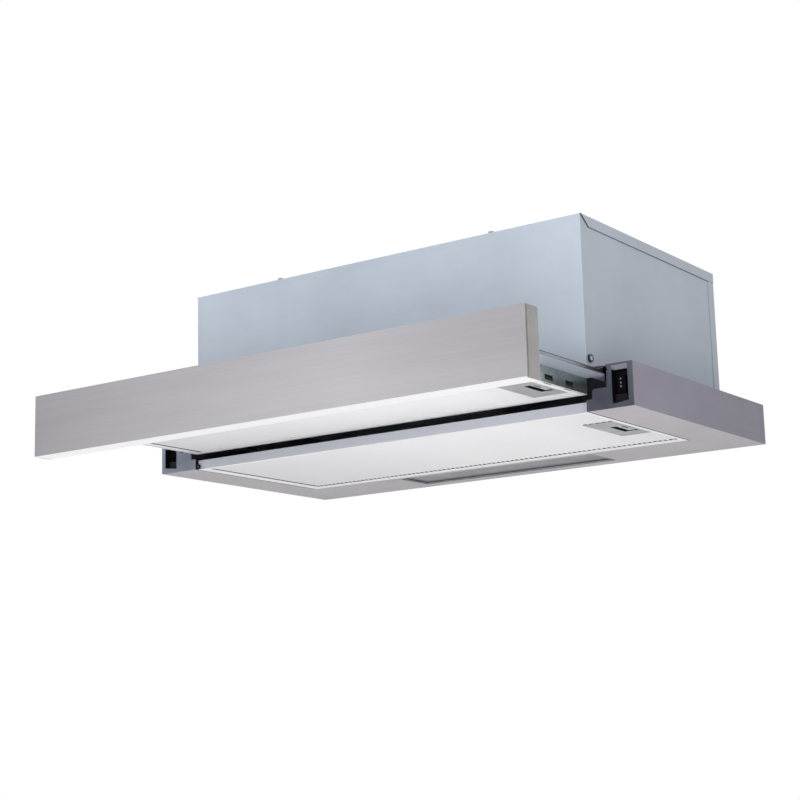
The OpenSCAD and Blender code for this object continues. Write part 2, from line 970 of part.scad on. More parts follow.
// Double-width fan wheel: rings at both ends, a disc on the hub, and leaning blades
module fan_wheel() {
    color("#2e3136") placed() difference() {
        union() {
            rod_x(0, wheel_disc, fan_y, fan_z, wheel_r);
            rod_x(0, hub_len, fan_y, fan_z, hub_r);
            for (side = [-1, 1])
                wheel_end_ring(side);
            for (i = [0 : wheel_blades - 1])
                translate([0, fan_y, fan_z])
                    rotate([i * 360 / wheel_blades, 0, 0])
                        translate([0, (wheel_in_r + wheel_r) / 2, 0])
                            rotate([blade_lean, 0, 0])
                                cube([2 * wheel_half - wheel_ring, wheel_r - wheel_in_r, blade_t], center = true);
        }
        rod_x(-overrun, hub_len + overrun, fan_y, fan_z, shaft_r);
    }
}

module wheel_end_ring(side) {
    from = side > 0 ? wheel_half - wheel_ring : -wheel_half;
    difference() {
        rod_x(from, from + wheel_ring, fan_y, fan_z, wheel_r);
        rod_x(from - overrun, from + wheel_ring + overrun, fan_y, fan_z, wheel_in_r);
    }
}

module motor_shaft() {
    color("#d0d3d6") placed()
        rod_x(-scroll_w / 2, hub_len, fan_y, fan_z, shaft_r);
}

// Motor inside the left half of the fan wheel, with cooling slots round its case
module fan_motor() {
    slots = 12;
    slot_h = motor_r / 9;
    color("#8d9297") placed() difference() {
        union() {
            rod_x(-motor_far, -motor_near, fan_y, fan_z, motor_r);
            rod_x(-scroll_w / 2 - scroll_t, -motor_far, fan_y, fan_z, motor_boss_r);
        }
        rod_x(-scroll_w / 2 - run_gap, overrun, fan_y, fan_z, shaft_r + run_gap);
        for (i = [0 : slots - 1])
            translate([-motor_far + motor_near, fan_y, fan_z])
                rotate([i * 360 / slots, 0, 0])
                    translate([0, motor_r - slot_h / 2, -slot_h / 2])
                        cube([motor_far - 3 * motor_near, slot_h, slot_h]);
    }
}

// Three-armed plate that holds the motor across the left inlet
module motor_bracket() {
    plate_x = -scroll_w / 2 - scroll_t;
    color("#a9adb1") placed()
        along_x(plate_x - bracket_plate, plate_x)
            translate([fan_y, fan_z]) {
                circle(r = motor_boss_r + bracket_arm / 2);
                for (i = [0 : 2])
                    rotate(90 + i * 120)
                        translate([0, -bracket_arm / 2])
                            square([bracket_out, bracket_arm]);
            }
}

module motor_capacitor() {
    color("#e8e8e6") placed() {
        rod_z(
            cover_under - capacitor_h, cover_under - capacitor_r / 2,
            capacitor_mid[0], capacitor_mid[1], capacitor_r
        );
        rod_z(cover_under - capacitor_r, cover_under, capacitor_mid[0], capacitor_mid[1], capacitor_r / 4);
    }
}

// Lead from the motor bracket to the terminal box
module motor_cable() {
    start_x = -scroll_w / 2 - scroll_t - bracket_plate;
    end_x = terminal_mid[0] + terminal_size[0] / 2;
    end_y = terminal_mid[1] - terminal_size[1] / 4;
    end_z = cover_under - terminal_size[2] / 2;
    bend_x = start_x - 3 * motor_boss_r / 2;
    color("#26282b") placed() {
        rod_x(bend_x, start_x, fan_y, fan_z, cable_r);
        translate([bend_x, fan_y, fan_z])
            sphere(r = cable_r);
        rod_z(fan_z, end_z, bend_x, fan_y, cable_r);
        translate([bend_x, fan_y, end_z])
            sphere(r = cable_r);
        rod_y(fan_y, end_y, bend_x, end_z, cable_r);
        translate([bend_x, end_y, end_z])
            sphere(r = cable_r);
        rod_x(end_x, bend_x, end_y, end_z, cable_r);
    }
}

// Terminal box under the cover, with the gland for the mains lead through its top
module terminal_box() {
    low = [
        terminal_mid[0] - terminal_size[0] / 2,
        terminal_mid[1] - terminal_size[1] / 2,
        cover_under - terminal_size[2]
    ];
    high = [terminal_mid[0] + terminal_size[0] / 2, terminal_mid[1] + terminal_size[1] / 2, cover_under];
    wall = [terminal_wall, terminal_wall, terminal_wall];
    color("#d9dadb") placed() difference() {
        span(low, high);
        span([low[0] + wall[0], low[1] + wall[1], low[2] - overrun], high - wall);
        rod_z(
            cover_under - terminal_wall - overrun, cover_under + overrun,
            terminal_mid[0], terminal_mid[1], gland_thread_r + run_gap
        );
    }
}

module terminal_lid() {
    low_z = cover_under - terminal_size[2] - terminal_wall;
    color("#d9dadb") placed()
        translate([terminal_mid[0] - terminal_size[0] / 2, terminal_mid[1] - terminal_size[1] / 2, low_z])
            cube([terminal_size[0], terminal_size[1], terminal_wall]);
}

module cable_gland() {
    color("#2a2c2f") placed() difference() {
        union() {
            translate([terminal_mid[0], terminal_mid[1], box_top])
                cylinder(h = gland_hex_h, r = gland_hex_r, $fn = 6);
            rod_z(
                box_top, box_top + gland_hex_h + gland_nut_h,
                terminal_mid[0], terminal_mid[1], gland_nut_r
            );
            rod_z(
                cover_under - gland_below, box_top,
                terminal_mid[0], terminal_mid[1], gland_thread_r
            );
        }
        rod_z(
            cover_under - gland_below - overrun, box_top + gland_hex_h + gland_nut_h + overrun,
            terminal_mid[0], terminal_mid[1], lead_r
        );
    }
}

// Lamp: an open tray on the rear rim, a board with light-emitting chips, and the lens
lamp_x = lens_w / 2 + lens_lap + seat_gap + lamp_wall;
lamp_y = lens_d / 2 + lens_lap + seat_gap + lamp_wall;
lamp_top = base_sheet + lamp_h;

module lamp_housing() {
    ledge_z = lens_up - seat_gap;
    color("#d2d4d6") placed() difference() {
        span([-lamp_x, lamp_mid_y - lamp_y, base_sheet], [lamp_x, lamp_mid_y + lamp_y, lamp_top]);
        span(
            [-lamp_x + lamp_wall, lamp_mid_y - lamp_y + lamp_wall, ledge_z],
            [lamp_x - lamp_wall, lamp_mid_y + lamp_y - lamp_wall, lamp_top - lamp_wall]
        );
        span(
            [-lens_w / 2, lamp_mid_y - lens_d / 2, base_sheet - overrun],
            [lens_w / 2, lamp_mid_y + lens_d / 2, ledge_z + overrun]
        );
    }
}

module light_lens() {
    color("#7d8689") placed()
        span(
            [-lens_w / 2 - lens_lap, lamp_mid_y - lens_d / 2 - lens_lap, lens_up],
            [lens_w / 2 + lens_lap, lamp_mid_y + lens_d / 2 + lens_lap, lens_up + lens_t]
        );
}

module led_board() {
    board_y = lens_d / 3;
    color("#e9ebe6") placed()
        span(
            [-lens_w / 2 + lens_d / 4, lamp_mid_y - board_y, lamp_top - lamp_wall - board_t],
            [lens_w / 2 - lens_d / 4, lamp_mid_y + board_y, lamp_top - lamp_wall]
        );
}

module led_chips() {
    chip_z = lamp_top - lamp_wall - board_t - chip[2];
    color("#f4e9a8") placed()
        for (i = [0 : chip_count - 1])
            translate([
                (i - (chip_count - 1) / 2) * chip_pitch - chip[0] / 2,
                lamp_mid_y - chip[1] / 2,
                chip_z
            ])
                cube(chip);
}

// Fixed slide member: a bar that hangs from the top sheet
module slide_fixed() {
    end_y = slide_front + slide_len + slide_front;
    span([slide_x - fixed_half, slide_front / 2, fixed_z], [slide_x + fixed_half, end_y, under_top]);
    span(
        [slide_x - fixed_flange, slide_front / 2, under_top - slide_wall],
        [slide_x + fixed_flange, end_y, under_top]
    );
}

module slide_fixed_right() {
    color("#b9c0c4") placed()
        slide_fixed();
}

module slide_fixed_left() {
    color("#b9c0c4") placed()
        mirror([1, 0, 0])
            slide_fixed();
}

// An open channel of the slides, drawn with its opening up
module slide_channel(half, floor_t, lip, low_z, from_y, to_y) {
    difference() {
        span([slide_x - half, from_y, low_z], [slide_x + half, to_y, low_z + lip]);
        span(
            [slide_x - half + slide_wall, from_y - overrun, low_z + floor_t],
            [slide_x + half - slide_wall, to_y + overrun, low_z + lip + overrun]
        );
    }
}

module slide_middle() {
    from_y = slide_front - tray_travel / 2;
    slide_channel(middle_half, middle_floor, middle_lip_h, middle_z, from_y, from_y + slide_len);
}

module slide_middle_right() {
    color("#a3abb0") placed()
        slide_middle();
}

module slide_middle_left() {
    color("#a3abb0") placed()
        mirror([1, 0, 0])
            slide_middle();
}

// Steel balls between the members, in two outer and two inner rows
module slide_balls() {
    outer_x = middle_half + ball_r + ball_play;
    inner_x = fixed_half + ball_r + ball_play;
    row = 7;
    for (side = [-1, 1])
        for (i = [0 : row - 1]) {
            translate([
                slide_x + side * outer_x,
                slide_front - tray_travel / 2 + ball_pitch / 2 + i * ball_pitch,
                outer_ball_z
            ])
                sphere(r = ball_r);
            translate([
                slide_x + side * inner_x,
                slide_front + ball_pitch / 2 + i * ball_pitch,
                inner_ball_z
            ])
                sphere(r = ball_r);
        }
}

module slide_balls_right() {
    color("#d8dadc") placed()
        slide_balls();
}

module slide_balls_left() {
    color("#d8dadc") placed()
        mirror([1, 0, 0])
            slide_balls();
}

module slide_tray() {
    from_y = slide_front - tray_travel;
    slide_channel(slide_half, slide_wall, slide_lip_h, flange_top, from_y, from_y + slide_len);
}

module slide_tray_right() {
    color("#aab2b8") placed()
        slide_tray();
}

module slide_tray_left() {
    color("#aab2b8") placed()
        mirror([1, 0, 0])
            slide_tray();
}

// Microswitch on the tab inside the base frame, and its plunger
plunger_x = well_x - switch_body_w / 2;
plunger_z = switch_tab_z + 3 * plunger_r;

module tray_switch() {
    color("#1f2023") placed() difference() {
        span(
            [well_x - switch_body_w, switch_tab_y, switch_tab_z],
            [well_x, switch_tab_y + switch_tab[0], switch_tab_z + switch_body_h]
        );
        rod_y(
            switch_tab_y - overrun, switch_tab_y + plunger_in + plunger_travel + seat_gap,
            plunger_x, plunger_z, plunger_r + run_gap
        );
    }
}

module switch_plunger() {
    color("#b33a32") placed()
        rod_y(switch_tab_y - plunger_out, switch_tab_y + plunger_in, plunger_x, plunger_z, plunger_r);
}

// Tray: side walls with rims and flanges, a front plate and a low rear bar
module tray_frame() {
    color("#8f9a9c") placed() difference() {
        union() {
            both_sides() {
                span([tray_in_x, fascia_rear, tray_z], [tray_x, tray_tail, flange_top]);
                span([tray_in_x, fascia_rear, flange_z], [flange_x, tray_tail, flange_top]);
                span([tray_x - tray_rim, fascia_rear, tray_z], [tray_x, tray_tail, tray_z + tray_sheet]);
            }
            span([-tray_x, fascia_rear, tray_z], [tray_x, tray_front_in, flange_z]);
            span([-tray_x, fascia_rear, tray_z], [tray_x, fascia_rear + tray_rim, tray_z + tray_sheet]);
            span([-tray_x, tray_tail - tray_sheet, tray_z], [tray_x, tray_tail, tray_z + rear_bar_h]);
            span([-tray_x, tray_tail - tray_rim, tray_z], [tray_x, tray_tail, tray_z + tray_sheet]);
        }
        both_sides()
            latch_slots(
                tray_in_x - overrun, tray_x + overrun, wall_slot_mid,
                tray_z + wall_slot_up, tray_z + wall_slot_up + wall_slot_h
            );
        latch_slots(
            tray_x - tray_rim - overrun, tray_in_x, wall_slot_mid,
            tray_z - overrun, tray_z + tray_sheet + overrun
        );
        rod_y(
            fascia_rear - overrun, tray_tail + overrun,
            -tray_filter_x + tray_pin_in, tray_z + tray_pin_up, pin_r + run_gap
        );
        for (x = fascia_screw_x)
            rod_y(fascia_rear - overrun, tray_front_in + overrun, x, fascia_screw_z, screw_r + run_gap);
    }
}

// Sheet that closes the top of the tray, so that air runs back into the base frame
module tray_top() {
    color("#a9b0b4") placed()
        span([-tray_in_x, tray_front_in, flange_z - tray_sheet], [tray_in_x, 0, flange_z]);
}

// Stainless front with its top and bottom returns
module fascia_sheet() {
    face_x = fascia_x;
    return_x = face_x - cap_face;
    color("#b3b1ae") placed() {
        span(
            [-face_x, fascia_front, fascia_low],
            [face_x, fascia_front + fascia_sheet_t, fascia_high]
        );
        span(
            [-return_x, fascia_front, fascia_high - fascia_sheet_t],
            [return_x, fascia_rear, fascia_high]
        );
        span(
            [-return_x, fascia_front, fascia_low],
            [return_x, fascia_rear, fascia_low + fascia_sheet_t]
        );
    }
}

module fascia_back() {
    color("#a7a6a3") placed() difference() {
        span(
            [-fascia_x + cap_face + seat_gap, fascia_rear - fascia_sheet_t, fascia_low + fascia_sheet_t],
            [fascia_x - cap_face - seat_gap, fascia_rear, fascia_high - fascia_sheet_t]
        );
        for (x = fascia_screw_x)
            rod_y(fascia_rear - 2 * overrun, fascia_rear + overrun, x, fascia_screw_z, screw_r + run_gap);
    }
}

// End cap of the fascia: a face with one rounded corner, a step along the front and a plug
module fascia_cap() {
    face_x = fascia_x;
    out_x = face_x - seat_gap;
    in_x = face_x - cap_face + seat_gap / 2;
    front_y = fascia_front + fascia_sheet_t + seat_gap / 3;
    plug_y = [front_y + seat_gap, fascia_rear - fascia_sheet_t - seat_gap];
    plug_z = [fascia_low + fascia_sheet_t + seat_gap, fascia_high - fascia_sheet_t - seat_gap];
    difference() {
        along_x(in_x, out_x)
            polygon(concat(
                [[front_y, fascia_high], [front_y, fascia_low], [fascia_rear, fascia_low]],
                [
                    for (a = [0 : 15 : 90])
                        [fascia_rear - cap_round_r * (1 - cos(a)), fascia_high - cap_round_r * (1 - sin(a))]
                ]
            ));
        span(
            [out_x - cap_step_w, front_y - overrun, fascia_low - overrun],
            [out_x + overrun, front_y + cap_step_d, fascia_high + overrun]
        );
    }
    difference() {
        span([in_x - cap_plug, plug_y[0], plug_z[0]], [in_x, plug_y[1], plug_z[1]]);
        span(
            [in_x - cap_plug - overrun, plug_y[0] + cap_wall, plug_z[0] + cap_wall],
            [in_x - cap_wall, plug_y[1] - cap_wall, plug_z[1] - cap_wall]
        );
    }
}

module fascia_cap_right() {
    color("#9b9998") placed()
        fascia_cap();
}

module fascia_cap_left() {
    color("#9b9998") placed()
        mirror([1, 0, 0])
            fascia_cap();
}

module fascia_screws() {
    color("#9aa1a8") placed()
        for (x = fascia_screw_x) {
            rod_y(tray_front_in, tray_front_in + fascia_screw_head, x, fascia_screw_z, fascia_screw_r);
            rod_y(tray_front_in - screw_len, tray_front_in, x, fascia_screw_z, screw_r);
        }
}

// Ring frame of a filter with the pivot pins at its left edge and slots for the latch
module filter_frame(left, right, front, back, low, high, borders, pin_x, pin_z, pin_front, pin_back, nose_mid) {
    difference() {
        span([left, front, low], [right, back, high]);
        span(
            [left + borders[0], front + filter_border, low - overrun],
            [right - filter_border, back - borders[1], high + overrun]
        );
        latch_slots(
            right - filter_border - overrun, right + overrun, nose_mid,
            low + nose_low - latch_gap, low + nose_low + nose_h + latch_gap
        );
    }
    rod_y(pin_front, front + pin_root, pin_x, pin_z, pin_r);
    rod_y(back - pin_root, pin_back, pin_x, pin_z, pin_r);
}

module grease_filter_frame() {
    color("#d9dce0") placed()
        filter_frame(
            -grease_x, grease_x, grease_front, grease_back, 0, grease_h,
            [pivot_border, rear_border], -grease_x + pin_in, pin_up,
            bracket_back - bracket_t - pin_past, rim_y + base_sheet + pin_root,
            grease_nose_mid
        );
}

module tray_filter_frame() {
    color("#d4d5d8") placed()
        filter_frame(
            -tray_filter_x, tray_filter_right, tray_filter_front, tray_filter_back,
            tray_z, tray_z + tray_filter_h, [tray_pivot_border, filter_border],
            -tray_filter_x + tray_pin_in, tray_z + tray_pin_up,
            fascia_rear + seat_gap, tray_tail,
            wall_slot_mid
        );
}

// Mesh pack of a filter, cut out round its latch plate; the grease filter's has slots at the rear
module filter_mesh(left, right, front, back, low, high, borders, plate, slotted) {
    low_x = left + borders[0] + filter_groove;
    high_x = right - filter_border - mesh_gap;
    low_y = front + filter_border + mesh_gap;
    high_y = back - borders[1] - mesh_gap;
    slots = floor((high_x - low_x - edge_slot_pitch) / edge_slot_pitch);
    translate([0, 0, low + mesh_inset])
        linear_extrude(high - low - 2 * mesh_inset)
            difference() {
                translate([low_x, low_y])
                    square([high_x - low_x, high_y - low_y]);
                translate([plate[0][0] - mesh_gap, plate[0][1] - mesh_gap])
                    square([
                        high_x - plate[0][0] + mesh_gap + overrun,
                        plate[1][1] - plate[0][1] + 2 * mesh_gap
                    ]);
                if (slotted)
                    for (i = [0 : scallop_count - 1])
                        translate([
                            plate[0][0] + (i + 0.5) * (high_x - plate[0][0]) / scallop_count,
                            plate[0][1]
                        ])
                            circle(r = scallop_r);
                if (slotted)
                    for (i = [0 : slots])
                        translate([
                            low_x + edge_slot_pitch / 2 + i * edge_slot_pitch,
                            high_y - edge_slot[1]
                        ])
                            square([edge_slot[0], edge_slot[1] + overrun]);
            }
}

module grease_filter_mesh() {
    color("#eceded") placed()
        filter_mesh(
            -grease_x, grease_x, grease_front, grease_back, 0, grease_h,
            [pivot_border, rear_border], grease_plate, true
        );
}

module tray_filter_mesh() {
    color("#e3e4e5") placed()
        filter_mesh(
            -tray_filter_x, tray_filter_right, tray_filter_front, tray_filter_back,
            tray_z, tray_z + tray_filter_h,
            [tray_pivot_border, filter_border], tray_plate, false
        );
}

// Latch plate with its finger pocket, open at the right where the slider runs
module latch_plate(plate, pocket, low) {
    wall_end = pocket[1][0] - latch_gap - bar_lap - latch_travel - latch_gap;
    difference() {
        union() {
            span(
                [plate[0][0], plate[0][1], low + plate_low],
                [plate[1][0] - mesh_gap, plate[1][1], low + plate_low + plate_t]
            );
            span(
                [pocket[0][0] - pocket_wall, pocket[0][1] - pocket_wall, low + plate_low],
                [wall_end, pocket[1][1] + pocket_wall, low + pocket_high]
            );
        }
        span(
            [pocket[0][0], pocket[0][1], low - overrun],
            [pocket[1][0], pocket[1][1], low + pocket_high - pocket_wall]
        );
    }
}

module grease_latch_plate() {
    color("#a5a6aa") placed()
        latch_plate(grease_plate, grease_pocket, 0);
}

module tray_latch_plate() {
    color("#a5a6aa") placed()
        latch_plate(tray_plate, tray_pocket, tray_z);
}

// Latch slider: a finger tab in the pocket, a crossbar behind the plate and two noses
module latch_slider(pocket, low, wall_x, nose_mid) {
    tab_left = pocket[0][0] + latch_travel + tab_gap;
    tab_right = pocket[1][0] - latch_gap;
    bar_left = tab_right - bar_lap;
    difference() {
        span(
            [tab_left, pocket[0][1] + latch_gap, low + plate_low],
            [tab_right, pocket[1][1] - tab_rear_gap, low + crossbar_low + crossbar_h / 2]
        );
        translate([tab_right - slit_in - slit[0], pocket[0][1] + latch_gap + slit_in, low])
            span([0, 0, -overrun], slit);
    }
    span(
        [bar_left, nose_mid - (wall_slot_pitch + nose_len) / 2, low + crossbar_low],
        [bar_left + crossbar_w, nose_mid + (wall_slot_pitch + nose_len) / 2, low + crossbar_low + crossbar_h]
    );
    for (side = [-1, 1])
        translate([0, nose_mid + side * wall_slot_pitch / 2, 0])
            span(
                [bar_left, -nose_len / 2, low + nose_low],
                [wall_x - latch_gap, nose_len / 2, low + nose_low + nose_h]
            );
}

module grease_latch() {
    color("#b9babd") placed()
        latch_slider(grease_pocket, 0, channel_x, grease_nose_mid);
}

module tray_latch() {
    color("#b9babd") placed()
        latch_slider(tray_pocket, tray_z, tray_in_x, wall_slot_mid);
}

lower_frame();
end_cap_right();
end_cap_left();
speed_switch();
light_switch();
filter_pivot_bracket();
cabinet_nuts();
box_wrap();
box_cover();
box_back();
cover_screws();
side_screws();
outlet_collar();
flap_front();
flap_rear();
blower_band();
blower_side_right();
blower_side_left();
fan_wheel();
motor_shaft();
fan_motor();
motor_bracket();
motor_capacitor();
motor_cable();
terminal_box();
terminal_lid();
cable_gland();
lamp_housing();
led_board();
led_chips();
light_lens();
slide_fixed_right();
slide_fixed_left();
slide_middle_right();
slide_middle_left();
slide_balls_right();
slide_balls_left();
slide_tray_right();
slide_tray_left();
tray_switch();
switch_plunger();
tray_frame();
tray_top();
fascia_sheet();
fascia_back();
fascia_cap_right();
fascia_cap_left();
fascia_screws();
tray_filter_frame();
tray_filter_mesh();
tray_latch_plate();
tray_latch();
grease_filter_frame();
grease_filter_mesh();
grease_latch_plate();
grease_latch();
speed_knob();
light_knob();
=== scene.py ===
# %% [markdown]
# # A pull-out range hood, seen from below
#
# The hood hangs under a wall cabinet. A folded base frame carries an upper box with the blower,
# and a flat tray with a stainless fascia slides out of its front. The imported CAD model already
# has every piece in its place, so this lesson adds what CAD leaves out: folded edges that catch
# the light, the lines of brushed steel, the mesh of the filters, and the dots at the switches.

# %% Load the CAD model
import json
import math

import bmesh
import bpy
from mathutils import Matrix, Vector


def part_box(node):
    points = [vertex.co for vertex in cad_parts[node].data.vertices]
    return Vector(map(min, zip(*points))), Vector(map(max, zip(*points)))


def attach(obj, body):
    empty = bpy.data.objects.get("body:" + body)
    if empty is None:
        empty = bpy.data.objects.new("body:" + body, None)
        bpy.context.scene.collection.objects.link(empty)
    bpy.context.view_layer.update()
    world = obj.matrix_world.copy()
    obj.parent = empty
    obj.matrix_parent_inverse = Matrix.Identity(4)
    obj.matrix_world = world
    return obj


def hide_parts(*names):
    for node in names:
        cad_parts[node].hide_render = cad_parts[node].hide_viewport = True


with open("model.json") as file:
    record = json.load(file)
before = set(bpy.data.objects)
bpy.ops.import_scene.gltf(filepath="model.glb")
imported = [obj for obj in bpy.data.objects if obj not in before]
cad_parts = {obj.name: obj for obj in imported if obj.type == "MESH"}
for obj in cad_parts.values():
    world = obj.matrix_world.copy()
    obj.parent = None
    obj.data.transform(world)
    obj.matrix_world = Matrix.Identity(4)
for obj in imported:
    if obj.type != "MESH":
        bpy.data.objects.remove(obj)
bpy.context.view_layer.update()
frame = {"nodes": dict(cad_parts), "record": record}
MM = 0.001

# %% [markdown]
# Colours on a screen are stored with a curve, but Blender's sockets want plain amounts of light.
# A short helper turns a colour that was judged, from 0 to 255, into the numbers that the
# shader needs. All colours below are written that way.


# %% Write colours as they look
def seen(red, green, blue):
    """A colour from 0 to 255, as a screen shows it, in the linear numbers of a shader."""
    levels = []
    for value in (red, green, blue):
        share = value / 255
        levels.append(share / 12.92 if share <= 0.04045 else ((share + 0.055) / 1.055) ** 2.4)
    return (*levels, 1.0)


print("middle grey in linear light", [round(v, 3) for v in seen(128, 128, 128)])

# %% [markdown]
# Several finishes share the same small effects: the pebbled surface of sprayed paint, the fine
# lines of brushed steel, the crystals of zinc, the grain of moulded plastic, the diamonds of a
# filter mesh. Each effect is a node group that is built once. A group here only puts out masks
# and heights, and every material has its own Principled BSDF, where the plain numbers are set.


# %% A helper for node groups
def effect_group(title, inputs, outputs):
    """An empty shader group with named sockets, and its input and output nodes."""
    group = bpy.data.node_groups.new(title, "ShaderNodeTree")
    for socket_name, socket_kind, start_value in inputs:
        socket = group.interface.new_socket(socket_name, in_out="INPUT", socket_type=socket_kind)
        if start_value is not None:
            socket.default_value = start_value
    for socket_name in outputs:
        group.interface.new_socket(socket_name, in_out="OUTPUT", socket_type="NodeSocketFloat")
    entry = group.nodes.new("NodeGroupInput")
    leave = group.nodes.new("NodeGroupOutput")
    return group, entry, leave


def calculate(tree, operation, first, second=None, third=None):
    """One Math node, fed by sockets or plain numbers."""
    node = tree.nodes.new("ShaderNodeMath")
    node.operation = operation
    for index, source in enumerate((first, second, third)):
        if source is None:
            continue
        if isinstance(source, (int, float)):
            node.inputs[index].default_value = source
        else:
            tree.links.new(source, node.inputs[index])
    return node.outputs[0]


def cloudy(tree, place, scale, detail=3.0, roughness=0.5):
    """A Noise Texture read at a place, as a value around one half."""
    node = tree.nodes.new("ShaderNodeTexNoise")
    node.inputs["Detail"].default_value = detail
    node.inputs["Roughness"].default_value = roughness
    tree.links.new(place, node.inputs["Vector"])
    if isinstance(scale, (int, float)):
        node.inputs["Scale"].default_value = scale
    else:
        tree.links.new(scale, node.inputs["Scale"])
    return node.outputs["Fac"]


def stretched(tree, place, amounts):
    """The same place with each axis multiplied, so that a pattern runs long one way."""
    node = tree.nodes.new("ShaderNodeMapping")
    node.vector_type = "POINT"
    node.inputs["Scale"].default_value = amounts
    tree.links.new(place, node.inputs["Vector"])
    return node.outputs["Vector"]


print("helpers for node groups are ready")

# %% [markdown]
# **Sprayed paint** is never quite flat: it dries into a shallow pebble, about a millimetre
# across, and it holds faint clouds where the coat is thicker or has been wiped. The group gives
# the pebble as a height and the clouds as a mask.

# %% Sprayed paint
paint_coat, entry, leave = effect_group(
    "sprayed_paint",
    [("Place", "NodeSocketVector", None), ("Pebble Size", "NodeSocketFloat", 900.0)],
    ["Pebble", "Clouds", "Wipes"],
)
place = entry.outputs["Place"]
pebble = cloudy(paint_coat, place, entry.outputs["Pebble Size"], 2.0)
paint_coat.links.new(pebble, leave.inputs["Pebble"])
paint_coat.links.new(cloudy(paint_coat, place, 7.0, 4.0, 0.6), leave.inputs["Clouds"])
wiped = stretched(paint_coat, place, (6.0, 6.0, 60.0))
paint_coat.links.new(cloudy(paint_coat, wiped, 3.0, 5.0, 0.65), leave.inputs["Wipes"])
print("group", paint_coat.name)

# %% [markdown]
# **Brushed steel** gets its look from thousands of straight scratches. Here the sheet is brushed
# along its length, so the noise is squeezed hard across it and hardly at all along it. Three
# layers, from hair-fine lines to soft bands, keep it from looking printed.

# %% Brushed steel
brushing, entry, leave = effect_group(
    "brushed_lines",
    [("Place", "NodeSocketVector", None)],
    ["Fine", "Broad", "Bands"],
)
place = entry.outputs["Place"]
fine_lines = stretched(brushing, place, (9.0, 1600.0, 1600.0))
broad_lines = stretched(brushing, place, (3.0, 320.0, 320.0))
soft_bands = stretched(brushing, place, (2.2, 14.0, 14.0))
brushing.links.new(cloudy(brushing, fine_lines, 1.0, 2.0), leave.inputs["Fine"])
brushing.links.new(cloudy(brushing, broad_lines, 1.0, 3.0, 0.6), leave.inputs["Broad"])
brushing.links.new(cloudy(brushing, soft_bands, 1.0, 3.0, 0.55), leave.inputs["Bands"])
print("group", brushing.name)

# %% [markdown]
# **Zinc** on a slide or bracket cools into flat crystals. A Voronoi texture gives each crystal
# its own shade, and stretched noise gives the lines that the rolls draw along the sheet.

# %% Zinc crystals
zinc_skin, entry, leave = effect_group(
    "zinc_crystals",
    [("Place", "NodeSocketVector", None), ("Crystals", "NodeSocketFloat", 260.0)],
    ["Shade", "Drawn"],
)
place = entry.outputs["Place"]
crystal = zinc_skin.nodes.new("ShaderNodeTexVoronoi")
zinc_skin.links.new(place, crystal.inputs["Vector"])
zinc_skin.links.new(entry.outputs["Crystals"], crystal.inputs["Scale"])
grey_part = zinc_skin.nodes.new("ShaderNodeSeparateColor")
zinc_skin.links.new(crystal.outputs["Color"], grey_part.inputs["Color"])
zinc_skin.links.new(grey_part.outputs[0], leave.inputs["Shade"])
drawn = stretched(zinc_skin, place, (500.0, 12.0, 500.0))
zinc_skin.links.new(cloudy(zinc_skin, drawn, 1.0, 3.0), leave.inputs["Drawn"])
print("group", zinc_skin.name)

# %% [markdown]
# **Moulded plastic** carries the fine spark-eroded grain of its mould, and handling polishes it
# in patches. Two noises of very different size describe both.

# %% Moulded grain
moulded, entry, leave = effect_group(
    "moulded_grain",
    [("Place", "NodeSocketVector", None), ("Grain", "NodeSocketFloat", 2600.0)],
    ["Grain", "Polish"],
)
place = entry.outputs["Place"]
moulded.links.new(cloudy(moulded, place, entry.outputs["Grain"], 2.0), leave.inputs["Grain"])
moulded.links.new(cloudy(moulded, place, 45.0, 3.0), leave.inputs["Polish"])
print("group", moulded.name)

# %% [markdown]
# **Filter mesh** is aluminium sheet that was slit and pulled into diamonds: two sets of slanted
# strands, which two folded waves describe well enough. The strands' height is the larger of the
# two, so a hole stays between them.

# %% Filter mesh
diamonds, entry, leave = effect_group(
    "expanded_mesh",
    [
        ("Place", "NodeSocketVector", None),
        ("Long Way", "NodeSocketFloat", 3.6 * MM),
        ("Short Way", "NodeSocketFloat", 2.4 * MM),
    ],
    ["Strand", "Layers", "Patches"],
)
place = entry.outputs["Place"]
axes = diamonds.nodes.new("ShaderNodeSeparateXYZ")
diamonds.links.new(place, axes.inputs["Vector"])
along = calculate(diamonds, "DIVIDE", axes.outputs["X"], entry.outputs["Long Way"])
across = calculate(diamonds, "DIVIDE", axes.outputs["Y"], entry.outputs["Short Way"])
rising = calculate(diamonds, "PINGPONG", calculate(diamonds, "ADD", along, across), 0.5)
falling = calculate(diamonds, "PINGPONG", calculate(diamonds, "SUBTRACT", along, across), 0.5)
strand = calculate(diamonds, "MAXIMUM", rising, falling)
diamonds.links.new(calculate(diamonds, "MULTIPLY", strand, 2.0), leave.inputs["Strand"])
diamonds.links.new(cloudy(diamonds, place, 420.0, 3.0, 0.6), leave.inputs["Layers"])
diamonds.links.new(cloudy(diamonds, place, 9.0, 4.0, 0.6), leave.inputs["Patches"])
print("group", diamonds.name)

# %% [markdown]
# One piece can have two looks: the bottom face of a filter is bright aluminium, but the walls
# inside its grooves are in deep shade and dull with use. A **place mask** tells such areas apart
# by where they are on the piece. It is 1 between two corners and 0 elsewhere.

